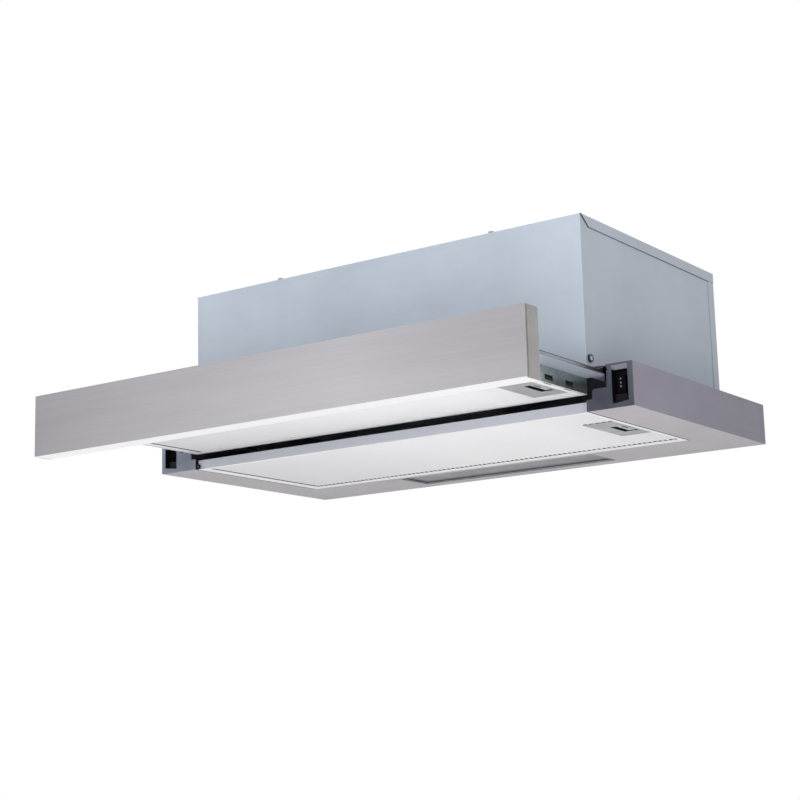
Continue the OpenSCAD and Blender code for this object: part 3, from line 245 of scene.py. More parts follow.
# %% A mask by place
place_mask, entry, leave = effect_group(
    "place_mask",
    [
        ("Place", "NodeSocketVector", None),
        ("Low", "NodeSocketVector", None),
        ("High", "NodeSocketVector", None),
    ],
    ["Inside"],
)
corners = {}
for socket_name in ("Place", "Low", "High"):
    parts = place_mask.nodes.new("ShaderNodeSeparateXYZ")
    place_mask.links.new(entry.outputs[socket_name], parts.inputs["Vector"])
    corners[socket_name] = parts.outputs
inside = None
for axis in "XYZ":
    here = corners["Place"][axis]
    above = calculate(place_mask, "GREATER_THAN", here, corners["Low"][axis])
    below = calculate(place_mask, "LESS_THAN", here, corners["High"][axis])
    both = calculate(place_mask, "MULTIPLY", above, below)
    inside = both if inside is None else calculate(place_mask, "MULTIPLY", inside, both)
place_mask.links.new(inside, leave.inputs["Inside"])
print("group", place_mask.name)

# %% [markdown]
# A finish is a material: the Principled BSDF with its plain numbers, a place to read the pattern
# at, and one effect group. A small class keeps the recipes short. It mixes two colours by a mask,
# lays a further colour over one area of the piece or lets it fade in along an axis, spreads a
# mask over a range of roughness, and turns a height into a bump.

# %% A class for finishes
FAR = 1.0  # metres, beyond every piece
ANYWHERE = (-FAR, FAR)


class Finish:
    """A material with its shader, its Object coordinates and one effect group."""

    def __init__(self, title, group, roughness, metallic=0.0, **plain):
        self.material = bpy.data.materials.new(title)
        self.material.use_nodes = True
        self.tree = self.material.node_tree
        self.shader = self.tree.nodes["Principled BSDF"]
        self.shader.inputs["Roughness"].default_value = roughness
        self.shader.inputs["Metallic"].default_value = metallic
        for socket_name, value in plain.items():
            self.shader.inputs[socket_name.replace("_", " ")].default_value = value
        self.place = self.tree.nodes.new("ShaderNodeTexCoord").outputs["Object"]
        self.effect = self.tree.nodes.new("ShaderNodeGroup")
        self.effect.node_tree = group
        self.tree.links.new(self.place, self.effect.inputs["Place"])

    def socket(self, mask):
        """An output of the effect by its name, or a socket as it is."""
        return self.effect.outputs[mask] if isinstance(mask, str) else mask

    def axis(self, name):
        """One of the three Object coordinates."""
        parts = self.tree.nodes.new("ShaderNodeSeparateXYZ")
        self.tree.links.new(self.place, parts.inputs["Vector"])
        return parts.outputs[name]

    def off_centre(self):
        """The distance from the hood's middle plane."""
        return calculate(self.tree, "ABSOLUTE", self.axis("X"))

    def between(self, mask, low_from, low_to, high_from, high_to):
        """A mask spread from one range onto another."""
        node = self.tree.nodes.new("ShaderNodeMapRange")
        node.inputs["From Min"].default_value = low_from
        node.inputs["From Max"].default_value = low_to
        node.inputs["To Min"].default_value = high_from
        node.inputs["To Max"].default_value = high_to
        self.tree.links.new(self.socket(mask), node.inputs["Value"])
        return node.outputs["Result"]

    def inside(self, x=ANYWHERE, y=ANYWHERE, z=ANYWHERE):
        """A mask that is 1 between two places along each axis."""
        node = self.tree.nodes.new("ShaderNodeGroup")
        node.node_tree = place_mask
        node.inputs["Low"].default_value = (x[0], y[0], z[0])
        node.inputs["High"].default_value = (x[1], y[1], z[1])
        self.tree.links.new(self.place, node.inputs["Place"])
        return node.outputs["Inside"]

    def weighted(self, **shares):
        """The sum of several effect outputs, each times its share."""
        total = None
        for name, share in shares.items():
            part = calculate(self.tree, "MULTIPLY", self.effect.outputs[name], share)
            total = part if total is None else calculate(self.tree, "ADD", total, part)
        return total

    def product(self, first, *others):
        """Masks multiplied, so that only their common area is left."""
        for mask in others:
            first = calculate(self.tree, "MULTIPLY", first, mask)
        return first

    def blend(self, mask, first, second):
        """Base Color becomes the first colour where the mask is 0 and the second where it is 1."""
        mix = self.tree.nodes.new("ShaderNodeMix")
        mix.data_type = "RGBA"
        slots = {slot.name: slot for slot in mix.inputs if slot.type == "RGBA"}
        if isinstance(first, tuple):
            slots["A"].default_value = first
        else:
            self.tree.links.new(first, slots["A"])
        slots["B"].default_value = second
        self.tree.links.new(mask, mix.inputs["Factor"])
        result = [slot for slot in mix.outputs if slot.type == "RGBA"][0]
        self.tree.links.new(result, self.shader.inputs["Base Color"])

    def colours(self, mask, dark, light, low=0.3, high=0.7):
        """Base Color runs from dark to light as the mask goes from low to high."""
        self.blend(self.between(mask, low, high, 0.0, 1.0), dark, light)

    def over(self, mask, colour):
        """Lays one more colour over the Base Color where the mask is 1."""
        self.blend(mask, self.shader.inputs["Base Color"].links[0].from_socket, colour)

    def patch(self, colour, x=ANYWHERE, y=ANYWHERE, z=ANYWHERE):
        """Lays a colour over the part of the piece between two places along each axis."""
        self.over(self.inside(x, y, z), colour)

    def fade(self, colour, axis, start, end, share_at_start, share_at_end):
        """Lays a colour over the piece by a share that changes along an axis."""
        self.over(self.between(self.axis(axis), start, end, share_at_start, share_at_end), colour)

    def rough(self, mask, smooth, matt, low=0.3, high=0.7):
        """Roughness runs from smooth to matt with the mask."""
        spread = self.between(mask, low, high, smooth, matt)
        self.tree.links.new(spread, self.shader.inputs["Roughness"])

    def bump(self, height, depth, strength):
        """The height raises the surface by up to depth, in metres."""
        node = self.tree.nodes.new("ShaderNodeBump")
        node.inputs["Strength"].default_value = strength
        node.inputs["Distance"].default_value = depth
        self.tree.links.new(self.socket(height), node.inputs["Height"])
        self.tree.links.new(node.outputs["Normal"], self.shader.inputs["Normal"])


print("a finish can lay colours by place, up to", FAR, "m out")

# %% [markdown]
# Four recipes serve most of the hood: satin paint on steel, injection-moulded plastic, zinc
# plating, and turned or ground steel. Each takes a dark and a light shade, because no real
# surface has only one, and lets the effect choose between them.


# %% Recipes for finishes
def painted(title, dark, light, roughness=0.42):
    """Satin paint on sheet steel."""
    finish = Finish(title, paint_coat, roughness, Specular_IOR_Level=0.4)
    finish.colours(finish.weighted(Clouds=0.8, Wipes=0.2), dark, light, 0.38, 0.62)
    finish.rough("Wipes", roughness - 0.04, roughness + 0.06)
    finish.bump("Pebble", 0.04 * MM, 0.35)
    return finish


def plastic(title, dark, light, roughness=0.45, **plain):
    """Injection-moulded plastic."""
    finish = Finish(title, moulded, roughness, **plain)
    finish.colours("Polish", dark, light)
    finish.rough("Polish", roughness + 0.06, roughness - 0.05)
    finish.bump("Grain", 0.03 * MM, 0.4)
    return finish


def zinc_plated(title, dark, light, roughness=0.4, metallic=0.6, drawn=0.3):
    """Zinc on formed steel, with drawn lines of a given strength."""
    finish = Finish(title, zinc_skin, roughness, metallic)
    finish.colours("Shade", dark, light, 0.0, 1.0)
    finish.rough("Drawn", roughness - 0.2 * drawn, roughness + 0.27 * drawn)
    finish.bump("Drawn", 0.03 * MM, drawn)
    return finish


def bright_metal(title, dark, light, roughness):
    """Turned or ground steel."""
    finish = Finish(title, brushing, roughness, 1.0)
    finish.colours("Broad", dark, light)
    finish.rough("Fine", roughness - 0.05, roughness + 0.08)
    finish.bump("Fine", 0.01 * MM, 0.2)
    return finish


print("recipes: painted, plastic, zinc_plated, bright_metal")

# %% [markdown]
# Now the finishes of this hood, starting with the plain ones: plastic, zinc, steel, and the pale
# blue-grey paint of the box. The box gets a painted shade that darkens it a little towards the
# bottom, where the base and the tray stand in its light.

# %% Plain finishes
box_greys = seen(168, 177, 188), seen(178, 187, 198)
box_shade = seen(148, 158, 169), "Z", -0.01, 0.12, 0.4, 0.0
box_paint = painted("box_paint", *box_greys)
# painted shade: the box paint darkens towards the bottom
box_paint.fade(*box_shade)
fascia_plastic = plastic("fascia_cap_plastic", seen(140, 138, 137), seen(152, 150, 149), 0.4)
black_plastic = plastic(
    "black_plastic", seen(6, 6, 8), seen(11, 11, 13), 0.55, Specular_IOR_Level=0.08
)
knob_plastic = plastic("knob_plastic", seen(17, 15, 15), seen(25, 23, 22), Specular_IOR_Level=0.25)
white_plastic = plastic("white_plastic", seen(222, 222, 219), seen(232, 232, 229), 0.4)
collar_plastic = plastic("collar_plastic", seen(46, 49, 54), seen(60, 63, 68))
wheel_plastic = plastic("wheel_plastic", seen(36, 38, 42), seen(50, 52, 57), 0.5)
red_plastic = plastic("red_plastic", seen(150, 38, 32), seen(172, 50, 42), 0.4)
board_white = plastic("board_white", seen(224, 227, 218), seen(236, 238, 230), 0.35)
chip_phosphor = plastic("chip_phosphor", seen(236, 222, 140), seen(246, 236, 170), 0.25)
zinc_steel = zinc_plated("zinc_steel", seen(164, 170, 174), seen(190, 195, 198))
screw_steel = bright_metal("screw_steel", seen(150, 154, 158), seen(186, 190, 193), 0.32)
ball_steel = bright_metal("ball_steel", seen(186, 188, 190), seen(214, 216, 218), 0.16)
print("plain finishes", len(bpy.data.materials))

# %% [markdown]
# The cover and the back panel lap over the box with folded lips. A raw sheet edge holds a thin
# shadow, so the last half millimetre of each lip gets a painted shadow. At the front the cover's
# lips are cut on a slant, and a near-black painted shade lies along that cut, which is found by
# its distance from a sloping line.

# %% Lips of the cover and the back panel
lip_edge = 0.6 * MM
cover_low, cover_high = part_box("box_cover")
cover_paint = painted("cover_paint", *box_greys)
# painted shadow along the lower edge of the cover's lips
cover_paint.patch(seen(88, 96, 106), z=(-FAR, cover_low[2] + lip_edge))

cut_length, lip_height = 15 * MM, 11 * MM
cut_slope = math.hypot(cut_length, lip_height)
along_y, along_z = lip_height / cut_slope, cut_length / cut_slope
behind_cut = calculate(
    cover_paint.tree, "MULTIPLY_ADD", cover_paint.axis("Y"), along_y,
    calculate(
        cover_paint.tree, "MULTIPLY_ADD", cover_paint.axis("Z"), along_z,
        -along_y * cover_low[1] - along_z * cover_high[2],
    ),
)
lip_inner = cover_high[0] - 0.9 * MM
on_lips = cover_paint.between(
    cover_paint.off_centre(), lip_inner, lip_inner + 0.05 * MM, 0.0, 1.0
)
at_cut = cover_paint.between(behind_cut, 0.7 * MM, 1.1 * MM, 1.0, 0.0)
# painted shade along the slanted cut at the front of the lips
cover_paint.over(cover_paint.product(on_lips, at_cut), seen(36, 39, 48))

back_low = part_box("box_back")[0]
back_paint = painted("back_paint", *box_greys)
# painted shade towards the bottom, as on the box
back_paint.fade(*box_shade)
# painted shadow along the front edge of the back panel's lips
back_paint.patch(seen(96, 104, 114), y=(-FAR, back_low[1] + lip_edge))
print("lips from", round(cover_low[2], 4), "and", round(back_low[1], 4))

# %% [markdown]
# The base frame has a warmer, purple grey paint. A painted shade darkens it towards the rear. Its
# underside gets a paler painted light, as from the hob below, and the narrow gap on both sides of
# the grease filter is painted dark as shade. The corners of the filter, read from the imported
# model, say where.

# %% Base frame
base_front = -0.155
filter_low, filter_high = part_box("grease_filter_frame")
hood_bottom = filter_low[2]
base_paint = painted("base_paint", seen(125, 122, 136), seen(136, 133, 147))
# painted shade: darker towards the rear
base_paint.fade(seen(112, 109, 122), "Y", -0.1, 0.15, 0.0, 0.6)
# painted light: the underside is paler
base_paint.patch(seen(163, 158, 164), z=(hood_bottom - MM, hood_bottom + 0.12 * MM))
gap_near, gap_far = 0.5 * MM, 3.1 * MM
for gap_x in (
    (filter_high[0] + gap_near, filter_high[0] + gap_far),
    (filter_low[0] - gap_far, filter_low[0] - gap_near),
):
    # painted shade in the gap beside the filter
    base_paint.patch(
        seen(34, 34, 40),
        x=gap_x,
        y=(base_front + 1.5 * MM, filter_high[1] + MM),
        z=(hood_bottom + 0.4 * MM, hood_bottom + 12 * MM),
    )
print("base frame: paint, brighter below, dark in the gaps")

# %% [markdown]
# The fascia is real stainless steel, brushed from end to end. It is a metallic shader whose
# colour and roughness both follow the lines, and it fades a little towards both ends. Its lower
# return faces the hob and is painted almost white, a painted highlight. Where the plastic caps
# meet the sheet, a thin dark joint shows.

# %% Stainless steel
stainless = Finish("brushed_stainless", brushing, 0.34, 0.9)
lines = stainless.weighted(Fine=0.08, Broad=0.03, Bands=0.18)
middle_level = 0.335
to_left_end = stainless.between(stainless.axis("X"), -0.3, 0.1, -0.09, 0.06)
to_right_end = stainless.between(stainless.axis("X"), 0.12, 0.3, 0.0, -0.09)
for more in (middle_level, to_left_end, to_right_end):
    lines = calculate(stainless.tree, "ADD", lines, more)
stainless.colours(lines, seen(154, 152, 157), seen(206, 204, 209), 0.36, 0.64)
stainless.rough("Bands", 0.3, 0.4)
stainless.bump("Fine", 0.02 * MM, 0.06)
fascia_low, fascia_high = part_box("fascia_sheet")
# painted highlight: the lower return is almost white
stainless.patch(seen(252, 251, 253), z=(fascia_low[2] - MM, fascia_low[2] + 0.3 * MM))
joint, overlap = 1.4 * MM, 0.1 * MM
for joint_x in (
    (fascia_high[0] - overlap, fascia_high[0] + joint),
    (fascia_low[0] - joint, fascia_low[0] + overlap),
):
    fascia_plastic.patch(seen(60, 60, 63), x=joint_x)
print("stainless steel, with a dark joint at each cap")

# %% [markdown]
# The tray is bright galvanised sheet, smooth enough to mirror what is around it. The flange that
# carries each slide is duller, and its paler colour is painted light on a face that looks down; a
# painted shadow line runs along its edge and darkens towards the housing, and the rim underneath
# is painted nearly white as light. Only the plain sheet is strongly metallic.

# %% Tray
tray_low, tray_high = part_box("tray_frame")
flange_side = 0.2698
tray_metal = zinc_plated("tray_steel", seen(156, 168, 167), seen(174, 185, 184), 0.24, 0.85, 0.1)
flange_area = tray_metal.inside(z=(tray_high[2] - 1.1 * MM, FAR))
rim_area = tray_metal.inside(z=(-FAR, tray_low[2] + 0.2 * MM))
# painted light: the flange's underside is paler
tray_metal.over(flange_area, seen(170, 179, 191))
# painted light: the rim underneath is nearly white
tray_metal.over(rim_area, seen(228, 227, 231))
# painted shadow line along the flange edge, darker towards the housing
edge_line = tray_metal.product(
    tray_metal.inside(z=(tray_high[2] - 0.85 * MM, tray_high[2] - 0.1 * MM)),
    tray_metal.between(
        tray_metal.off_centre(), flange_side - 0.05 * MM, flange_side, 0.0, 1.0
    ),
    tray_metal.between(tray_metal.axis("Y"), -0.29, -0.19, 0.25, 1.0),
)
tray_metal.over(edge_line, seen(40, 42, 50))
dull_area = calculate(tray_metal.tree, "MAXIMUM", flange_area, rim_area)
plain_sheet = calculate(tray_metal.tree, "SUBTRACT", 1.0, dull_area)
tray_metal.tree.links.new(
    tray_metal.between(plain_sheet, 0.0, 1.0, 0.1, 0.85), tray_metal.shader.inputs["Metallic"]
)
print("tray flange at", round(tray_high[2], 4))

# %% [markdown]
# The slides on the tray have a grey coat. Along their top edge a dark line is painted as shade,
# and the side below it gets a painted shade where the slide runs in behind the end cap.

# %% Slides on the tray
slide_low, slide_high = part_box("slide_tray_right")
turned_edge = slide_high[2] - 0.9 * MM
slide_coat = painted("slide_coat", seen(128, 131, 144), seen(146, 149, 161), 0.36)
# painted shade along the top edge
slide_coat.patch(seen(44, 46, 55), z=(turned_edge, FAR))
behind_cap = slide_coat.product(
    slide_coat.inside(z=(slide_low[2] + 0.5 * MM, turned_edge)),
    slide_coat.between(slide_coat.axis("Y"), -0.215, -0.185, 0.0, 1.0),
)
# painted shade where the slide runs in behind the end cap
slide_coat.over(behind_cap, seen(16, 17, 22))
print("slide top at", round(slide_high[2], 4))

# %% [markdown]
# The two end caps get two greys, the left one paler. Behind the face the switch recess is
# painted nearly black as shade, but the slope above its mouth faces down and forwards, and so it
# gets a paler painted light.

# %% End caps
dark_plastic = plastic("end_cap_dark", seen(55, 58, 69), seen(68, 71, 83), 0.38)
pale_plastic = plastic("end_cap_pale", seen(100, 104, 118), seen(116, 120, 134), 0.38)
recess_inner, recess_outer = 0.276, 0.295
for cap_finish in (dark_plastic, pale_plastic):
    for recess_x in ((-recess_outer, -recess_inner), (recess_inner, recess_outer)):
        # painted shade: the recess behind the face is nearly black
        cap_finish.patch(
            seen(12, 12, 14),
            x=recess_x,
            y=(base_front + 0.4 * MM, base_front + 35 * MM),
            z=(hood_bottom + 6.6 * MM, hood_bottom + 38.6 * MM),
        )
        # painted light on the slope above the recess mouth
        cap_finish.patch(
            seen(124, 127, 139),
            x=recess_x,
            y=(base_front + 0.1 * MM, base_front + 6.1 * MM),
            z=(hood_bottom + 37.3 * MM, hood_bottom + 40.9 * MM),
        )
print("end caps")

# %% [markdown]
# The filters look nearly white because their many layers of aluminium scatter the light. The
# mesh is therefore only slightly metallic, with a bump from the diamonds and a darker hole
# between the strands. Towards both ends a painted shade darkens it. Above its bottom face it is
# painted dark as shade, so that the slots along the rear edge and the scallops beside the latch
# read as holes, and beside the latch plate that painted shade is black.

# %% Filter mesh aluminium
groove_dark = seen(52, 53, 60)


def filter_mesh(title, node, plate_node):
    """Layers of expanded aluminium, bright below, with painted shade inside and beside the latch
    plate.
    """
    finish = Finish(title, diamonds, 0.5, 0.15)
    openwork = finish.weighted(Strand=0.7, Layers=0.3)
    finish.colours(openwork, seen(216, 216, 219), seen(250, 249, 250), 0.3, 0.75)
    # painted shade darkening both ends
    finish.fade(seen(200, 200, 205), "X", -0.27, 0.02, 0.6, 0.0)
    finish.fade(seen(200, 199, 202), "X", 0.16, 0.27, 0.0, 0.6)
    finish.rough("Patches", 0.46, 0.56)
    finish.bump("Strand", 0.3 * MM, 0.35)
    low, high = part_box(node)
    between_faces = (low[2] + 0.1 * MM, high[2] - 0.1 * MM)
    # painted shade above the bottom face
    finish.patch(groove_dark, z=between_faces)
    plate_low, plate_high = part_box(plate_node)
    # painted shade, black, beside the latch plate
    finish.patch(
        seen(12, 12, 16),
        x=(plate_low[0] - 4 * MM, plate_low[0] + 1 * MM),
        y=(plate_low[1] - 0.2 * MM, plate_high[1] + 0.2 * MM),
        z=between_faces,
    )
    return finish


grease_mesh = filter_mesh("grease_mesh_metal", "grease_filter_mesh", "grease_latch_plate")
tray_mesh = filter_mesh("tray_mesh_metal", "tray_filter_mesh", "tray_latch_plate")
print("mesh of both filters")

# %% [markdown]
# The frames of the filters are the same aluminium, rolled smooth. Their front face looks into
# the room and gets a darker painted shade, their ends face a narrow gap and are painted dark as
# shade, and the groove between frame and mesh is painted dark as shade. At the rear of the tray's
# filter the groove is shallow and its painted shade stays pale.


# %% Filter frames
def filter_frame(title, node, mesh_node, front_colour, rear_groove):
    """Rolled aluminium, with painted shade on its front, its ends and its groove."""
    finish = Finish(title, brushing, 0.42, 0.2)
    finish.colours("Broad", seen(226, 226, 229), seen(240, 240, 243))
    finish.rough("Bands", 0.38, 0.48)
    finish.bump("Fine", 0.01 * MM, 0.2)
    low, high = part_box(node)
    mesh_low, mesh_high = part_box(mesh_node)
    front_y = mesh_low[1] - 5.1 * MM
    behind_front = front_y + 0.25 * MM
    above_bottom = low[2] + 0.3 * MM
    # painted shade on the front face
    finish.patch(front_colour, y=(-FAR, behind_front), z=(above_bottom, FAR))
    finish.patch(seen(70, 66, 62), y=(-FAR, front_y - 0.05 * MM))
    # painted shade on the ends
    for end_x in ((-FAR, low[0] + 0.05 * MM), (high[0] - 0.05 * MM, FAR)):
        finish.patch(seen(44, 46, 51), x=end_x, y=(behind_front, FAR), z=(above_bottom, FAR))
    # painted shade in the groove between frame and mesh
    finish.patch(
        groove_dark,
        x=(mesh_low[0] - 2.2 * MM, mesh_high[0] + 0.3 * MM),
        y=(mesh_low[1] - 0.3 * MM, mesh_high[1] + 0.3 * MM),
        z=(above_bottom, high[2] + MM),
    )
    # painted shade at the rear groove, pale on the tray's filter
    finish.patch(
        rear_groove,
        x=(mesh_low[0] + MM, mesh_high[0] + 0.3 * MM),
        y=(mesh_high[1] - MM, mesh_high[1] + 0.5 * MM),
        z=(above_bottom, high[2] + MM),
    )
    return finish


front_grey = seen(173, 176, 184)
grease_frame = filter_frame(
    "grease_frame_metal", "grease_filter_frame", "grease_filter_mesh", front_grey, groove_dark
)
tray_frame = filter_frame(
    "tray_filter_metal", "tray_filter_frame", "tray_filter_mesh", front_grey, seen(184, 184, 188)
)
print("frames of both filters")

# %% [markdown]
# A latch plate has a deep finger pocket. Its flat bottom face is grey, but the pocket's walls
# never see the light, so all that lies behind the bottom face is painted black as shade. The
# slider inside is made the same way in a paler grey.


# %% Latches
def latch_plastic(title, node, dark, light):
    """Grey plastic, painted black as shade behind its bottom face."""
    finish = plastic(title, dark, light, 0.42)
    low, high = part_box(node)
    # painted shade: black behind the bottom face
    finish.patch(seen(10, 10, 12), z=(low[2] + 0.45 * MM, high[2] - 0.1 * MM))
    return finish


plate_greys = seen(138, 139, 144), seen(154, 155, 160)
slider_greys = seen(160, 161, 165), seen(176, 177, 181)
grease_plate = latch_plastic("grease_plate_plastic", "grease_latch_plate", *plate_greys)
tray_plate = latch_plastic("tray_plate_plastic", "tray_latch_plate", *plate_greys)
grease_slider = latch_plastic("grease_slider_plastic", "grease_latch", *slider_greys)
tray_slider = latch_plastic("tray_slider_plastic", "tray_latch", *slider_greys)
print("latch plates and sliders")

# %% [markdown]
# The lens is a thick frosted window with the lamp switched off behind it, so it looks grey and
# soft: a coarse grain, little gloss. The screws low on the box's sides are dark, and a bright
# painted highlight sits on each head.

# %% Lens and side screws
lens_finish = Finish("frosted_lens", moulded, 0.35, 0.0, Coat_Weight=0.08, Specular_IOR_Level=0.3)
lens_finish.colours("Polish", seen(78, 85, 90), seen(90, 97, 102))
lens_finish.rough("Polish", 0.3, 0.4)
lens_finish.bump("Grain", 0.1 * MM, 0.5)
lens_finish.effect.inputs["Grain"].default_value = 900.0

side_screw = bright_metal("side_screw_steel", seen(62, 65, 74), seen(84, 87, 96), 0.34)
highlight_y, highlight_z = (-0.1452, -0.1420), (0.0095, 0.0125)
for highlight_x in ((-0.26, -0.2494), (0.2494, 0.26)):
    # painted highlight on each side screw's head
    side_screw.patch(seen(226, 228, 232), highlight_x, highlight_y, highlight_z)
print("lens and side screws")

# %% [markdown]
# Every CAD node gets its finish by name. A node's faces all use one slot, so the material is put
# there and nothing else is touched.

# %% Give each node its finish
finish_of = {
    "lower_frame": base_paint, "end_cap_right": dark_plastic, "end_cap_left": pale_plastic,
    "speed_switch": black_plastic, "light_switch": black_plastic,
    "filter_pivot_bracket": black_plastic, "cabinet_nuts": screw_steel, "box_wrap": box_paint,
    "box_cover": cover_paint, "box_back": back_paint, "cover_screws": screw_steel,
    "side_screws": side_screw, "outlet_collar": collar_plastic, "flap_front": white_plastic,
    "flap_rear": white_plastic, "blower_band": zinc_steel, "blower_side_right": zinc_steel,
    "blower_side_left": zinc_steel, "fan_wheel": wheel_plastic, "motor_shaft": ball_steel,
    "fan_motor": zinc_steel, "motor_bracket": zinc_steel, "motor_capacitor": white_plastic,
    "motor_cable": black_plastic, "terminal_box": white_plastic, "terminal_lid": white_plastic,
    "cable_gland": black_plastic, "lamp_housing": zinc_steel, "led_board": board_white,
    "led_chips": chip_phosphor, "light_lens": lens_finish,
    "slide_fixed_right": zinc_steel, "slide_fixed_left": zinc_steel,
    "slide_middle_right": zinc_steel, "slide_middle_left": zinc_steel,
    "slide_balls_right": ball_steel, "slide_balls_left": ball_steel,
    "slide_tray_right": slide_coat, "slide_tray_left": slide_coat,
    "tray_switch": black_plastic, "switch_plunger": red_plastic, "tray_frame": tray_metal,
    "tray_top": tray_metal, "fascia_sheet": stainless, "fascia_back": stainless,
    "fascia_cap_right": fascia_plastic, "fascia_cap_left": fascia_plastic,
    "fascia_screws": screw_steel, "tray_filter_frame": tray_frame,
    "tray_filter_mesh": tray_mesh, "tray_latch_plate": tray_plate, "tray_latch": tray_slider,
    "grease_filter_frame": grease_frame, "grease_filter_mesh": grease_mesh,
    "grease_latch_plate": grease_plate, "grease_latch": grease_slider,
    "speed_knob": knob_plastic, "light_knob": knob_plastic,
}
for node_name, node_object in frame["nodes"].items():
    node_object.data.materials.clear()
    node_object.data.materials.append(finish_of[node_name].material)
print("finished nodes", len(finish_of))

# %% [markdown]
# CAD edges are perfectly sharp, and a sharp edge never catches the light. Folded sheet and
# moulded plastic have small rounded edges, so each piece that can be seen is copied, its loose
# triangles are merged and dissolved back into whole faces, and every crease is bevelled by a few
# tenths of a millimetre. The copy then stands for the CAD node.


# %% Helpers for rounded pieces
def new_object(title, shape, finish):
    """An object at the origin from a bmesh, which is used up, with one material."""
    mesh = bpy.data.meshes.new(title)
    shape.to_mesh(mesh)
    shape.free()
    mesh.materials.append(finish)
    piece = bpy.data.objects.new(title, mesh)
    bpy.context.scene.collection.objects.link(piece)
    return piece


def turns_more(edge, degrees):
    """Whether two faces meet at this edge at more than an angle."""
    return len(edge.link_faces) == 2 and edge.calc_face_angle(0.0) > math.radians(degrees)


def smooth_by_angle(piece, degrees=35):
    """Shades the piece smooth, with sharp edges kept where faces meet at more than an angle."""
    mesh = piece.data
    for face in mesh.polygons:
        face.use_smooth = True
    copy = bmesh.new()
    copy.from_mesh(mesh)
    for edge in copy.edges:
        edge.smooth = len(edge.link_faces) == 2 and not turns_more(edge, degrees)
    copy.to_mesh(mesh)
    copy.free()


print("helpers for rounded pieces are ready")

# %% [markdown]
# The bevel works on the creases alone. A Weighted Normal modifier then keeps the large flat
# faces evenly lit right up to their rounded edges. Each copy rides on the body that its node
# belongs to, so it moves with the tray, the filter or the knob.

# %% Round the edges of each node
body_of_node = {
    node: body
    for body, nodes in frame["record"]["behaviour"]["bodies"].items()
    for node in nodes
}
merge_distance = 0.004 * MM
flat_angle, crease_angle = 1.0, 30.0


def softened(node, width_mm):
    """A copy of a CAD node with rounded edges, which stands for it and rides on its body."""
    copy = bmesh.new()
    copy.from_mesh(frame["nodes"][node].data)
    bmesh.ops.remove_doubles(copy, verts=copy.verts[:], dist=merge_distance)
    bmesh.ops.dissolve_limit(
        copy, angle_limit=math.radians(flat_angle), use_dissolve_boundaries=False,
        verts=copy.verts[:], edges=copy.edges[:], delimit=set(),
    )
    creases = [edge for edge in copy.edges if turns_more(edge, crease_angle)]
    bmesh.ops.bevel(
        copy, geom=creases, offset=width_mm * MM, offset_type="OFFSET", segments=2,
        profile=0.5, affect="EDGES", clamp_overlap=True, material=-1, harden_normals=False,
    )
    piece = new_object(node + "_soft", copy, finish_of[node].material)
    smooth_by_angle(piece)
    even = piece.modifiers.new("even_normals", "WEIGHTED_NORMAL")
    even.keep_sharp = True
    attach(piece, body_of_node[node])
    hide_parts(node)
    return piece


edge_width_mm = {
    "lower_frame": 0.35, "box_wrap": 0.3, "box_cover": 0.3, "box_back": 0.3,
    "end_cap_right": 0.35, "end_cap_left": 0.35, "tray_frame": 0.3, "tray_top": 0.3,
    "fascia_sheet": 0.4, "fascia_back": 0.3, "fascia_cap_right": 0.3, "fascia_cap_left": 0.3,
    "grease_filter_frame": 0.35, "tray_filter_frame": 0.35, "grease_latch_plate": 0.3,
    "tray_latch_plate": 0.3, "grease_latch": 0.3, "tray_latch": 0.3, "speed_knob": 0.3,
    "light_knob": 0.3, "outlet_collar": 0.5, "filter_pivot_bracket": 0.2,
    "slide_tray_right": 0.3, "slide_tray_left": 0.3, "slide_middle_right": 0.25,
    "slide_middle_left": 0.25, "slide_fixed_right": 0.3, "slide_fixed_left": 0.3,
    "speed_switch": 0.3, "light_switch": 0.3, "tray_switch": 0.4, "lamp_housing": 0.3,
    "light_lens": 0.5, "terminal_box": 0.6, "terminal_lid": 0.5, "cable_gland": 0.5,
}
for node_name, width in edge_width_mm.items():
    made = softened(node_name, width)
    print(node_name, "faces", len(made.data.polygons))

# %% [markdown]
# The switches have small printed dots beside their knobs, which stand for the speeds. A dot is a
# low disc, not a picture, so it stays crisp from any distance. Each one starts as a circle that
# is extruded by a tenth of a millimetre and laid on the switch's face.

# %% Dots beside the knobs
dot_ink = plastic("dot_ink", seen(104, 108, 115), seen(120, 124, 131), 0.5)
dot_radius, dot_height, dot_sunk = 0.9 * MM, 0.12 * MM, 0.01 * MM


def printed_dot(title, node, centre_x, centre_z):
    """A raised dot on the front face of a switch."""
    face_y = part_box(node)[0][1]
    disc = bmesh.new()
    bmesh.ops.create_circle(disc, cap_ends=True, segments=24, radius=dot_radius)
    grown = bmesh.ops.extrude_face_region(disc, geom=disc.faces[:])
    upper = [v for v in grown["geom"] if isinstance(v, bmesh.types.BMVert)]
    bmesh.ops.translate(disc, verts=upper, vec=(0, 0, dot_height))
    to_front = Matrix.Rotation(math.radians(90), 3, "X")
    bmesh.ops.rotate(disc, verts=disc.verts[:], cent=(0, 0, 0), matrix=to_front)
    bmesh.ops.translate(disc, verts=disc.verts[:], vec=(centre_x, face_y - dot_sunk, centre_z))
    bmesh.ops.recalc_face_normals(disc, faces=disc.faces[:])
    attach(new_object(title, disc, dot_ink.material), "housing")


speed_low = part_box("speed_switch")[0]
light_low, light_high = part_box("light_switch")
dot_inset = 4.7 * MM
for index, height_mm in enumerate((15.3, 18.9, 22.7)):
    dot_z = speed_low[2] + height_mm * MM
    printed_dot(f"speed_dot_{index + 1}", "speed_switch", speed_low[0] + dot_inset, dot_z)
printed_dot("light_dot", "light_switch", light_high[0] - dot_inset, light_low[2] + 18.9 * MM)
print("dots made")

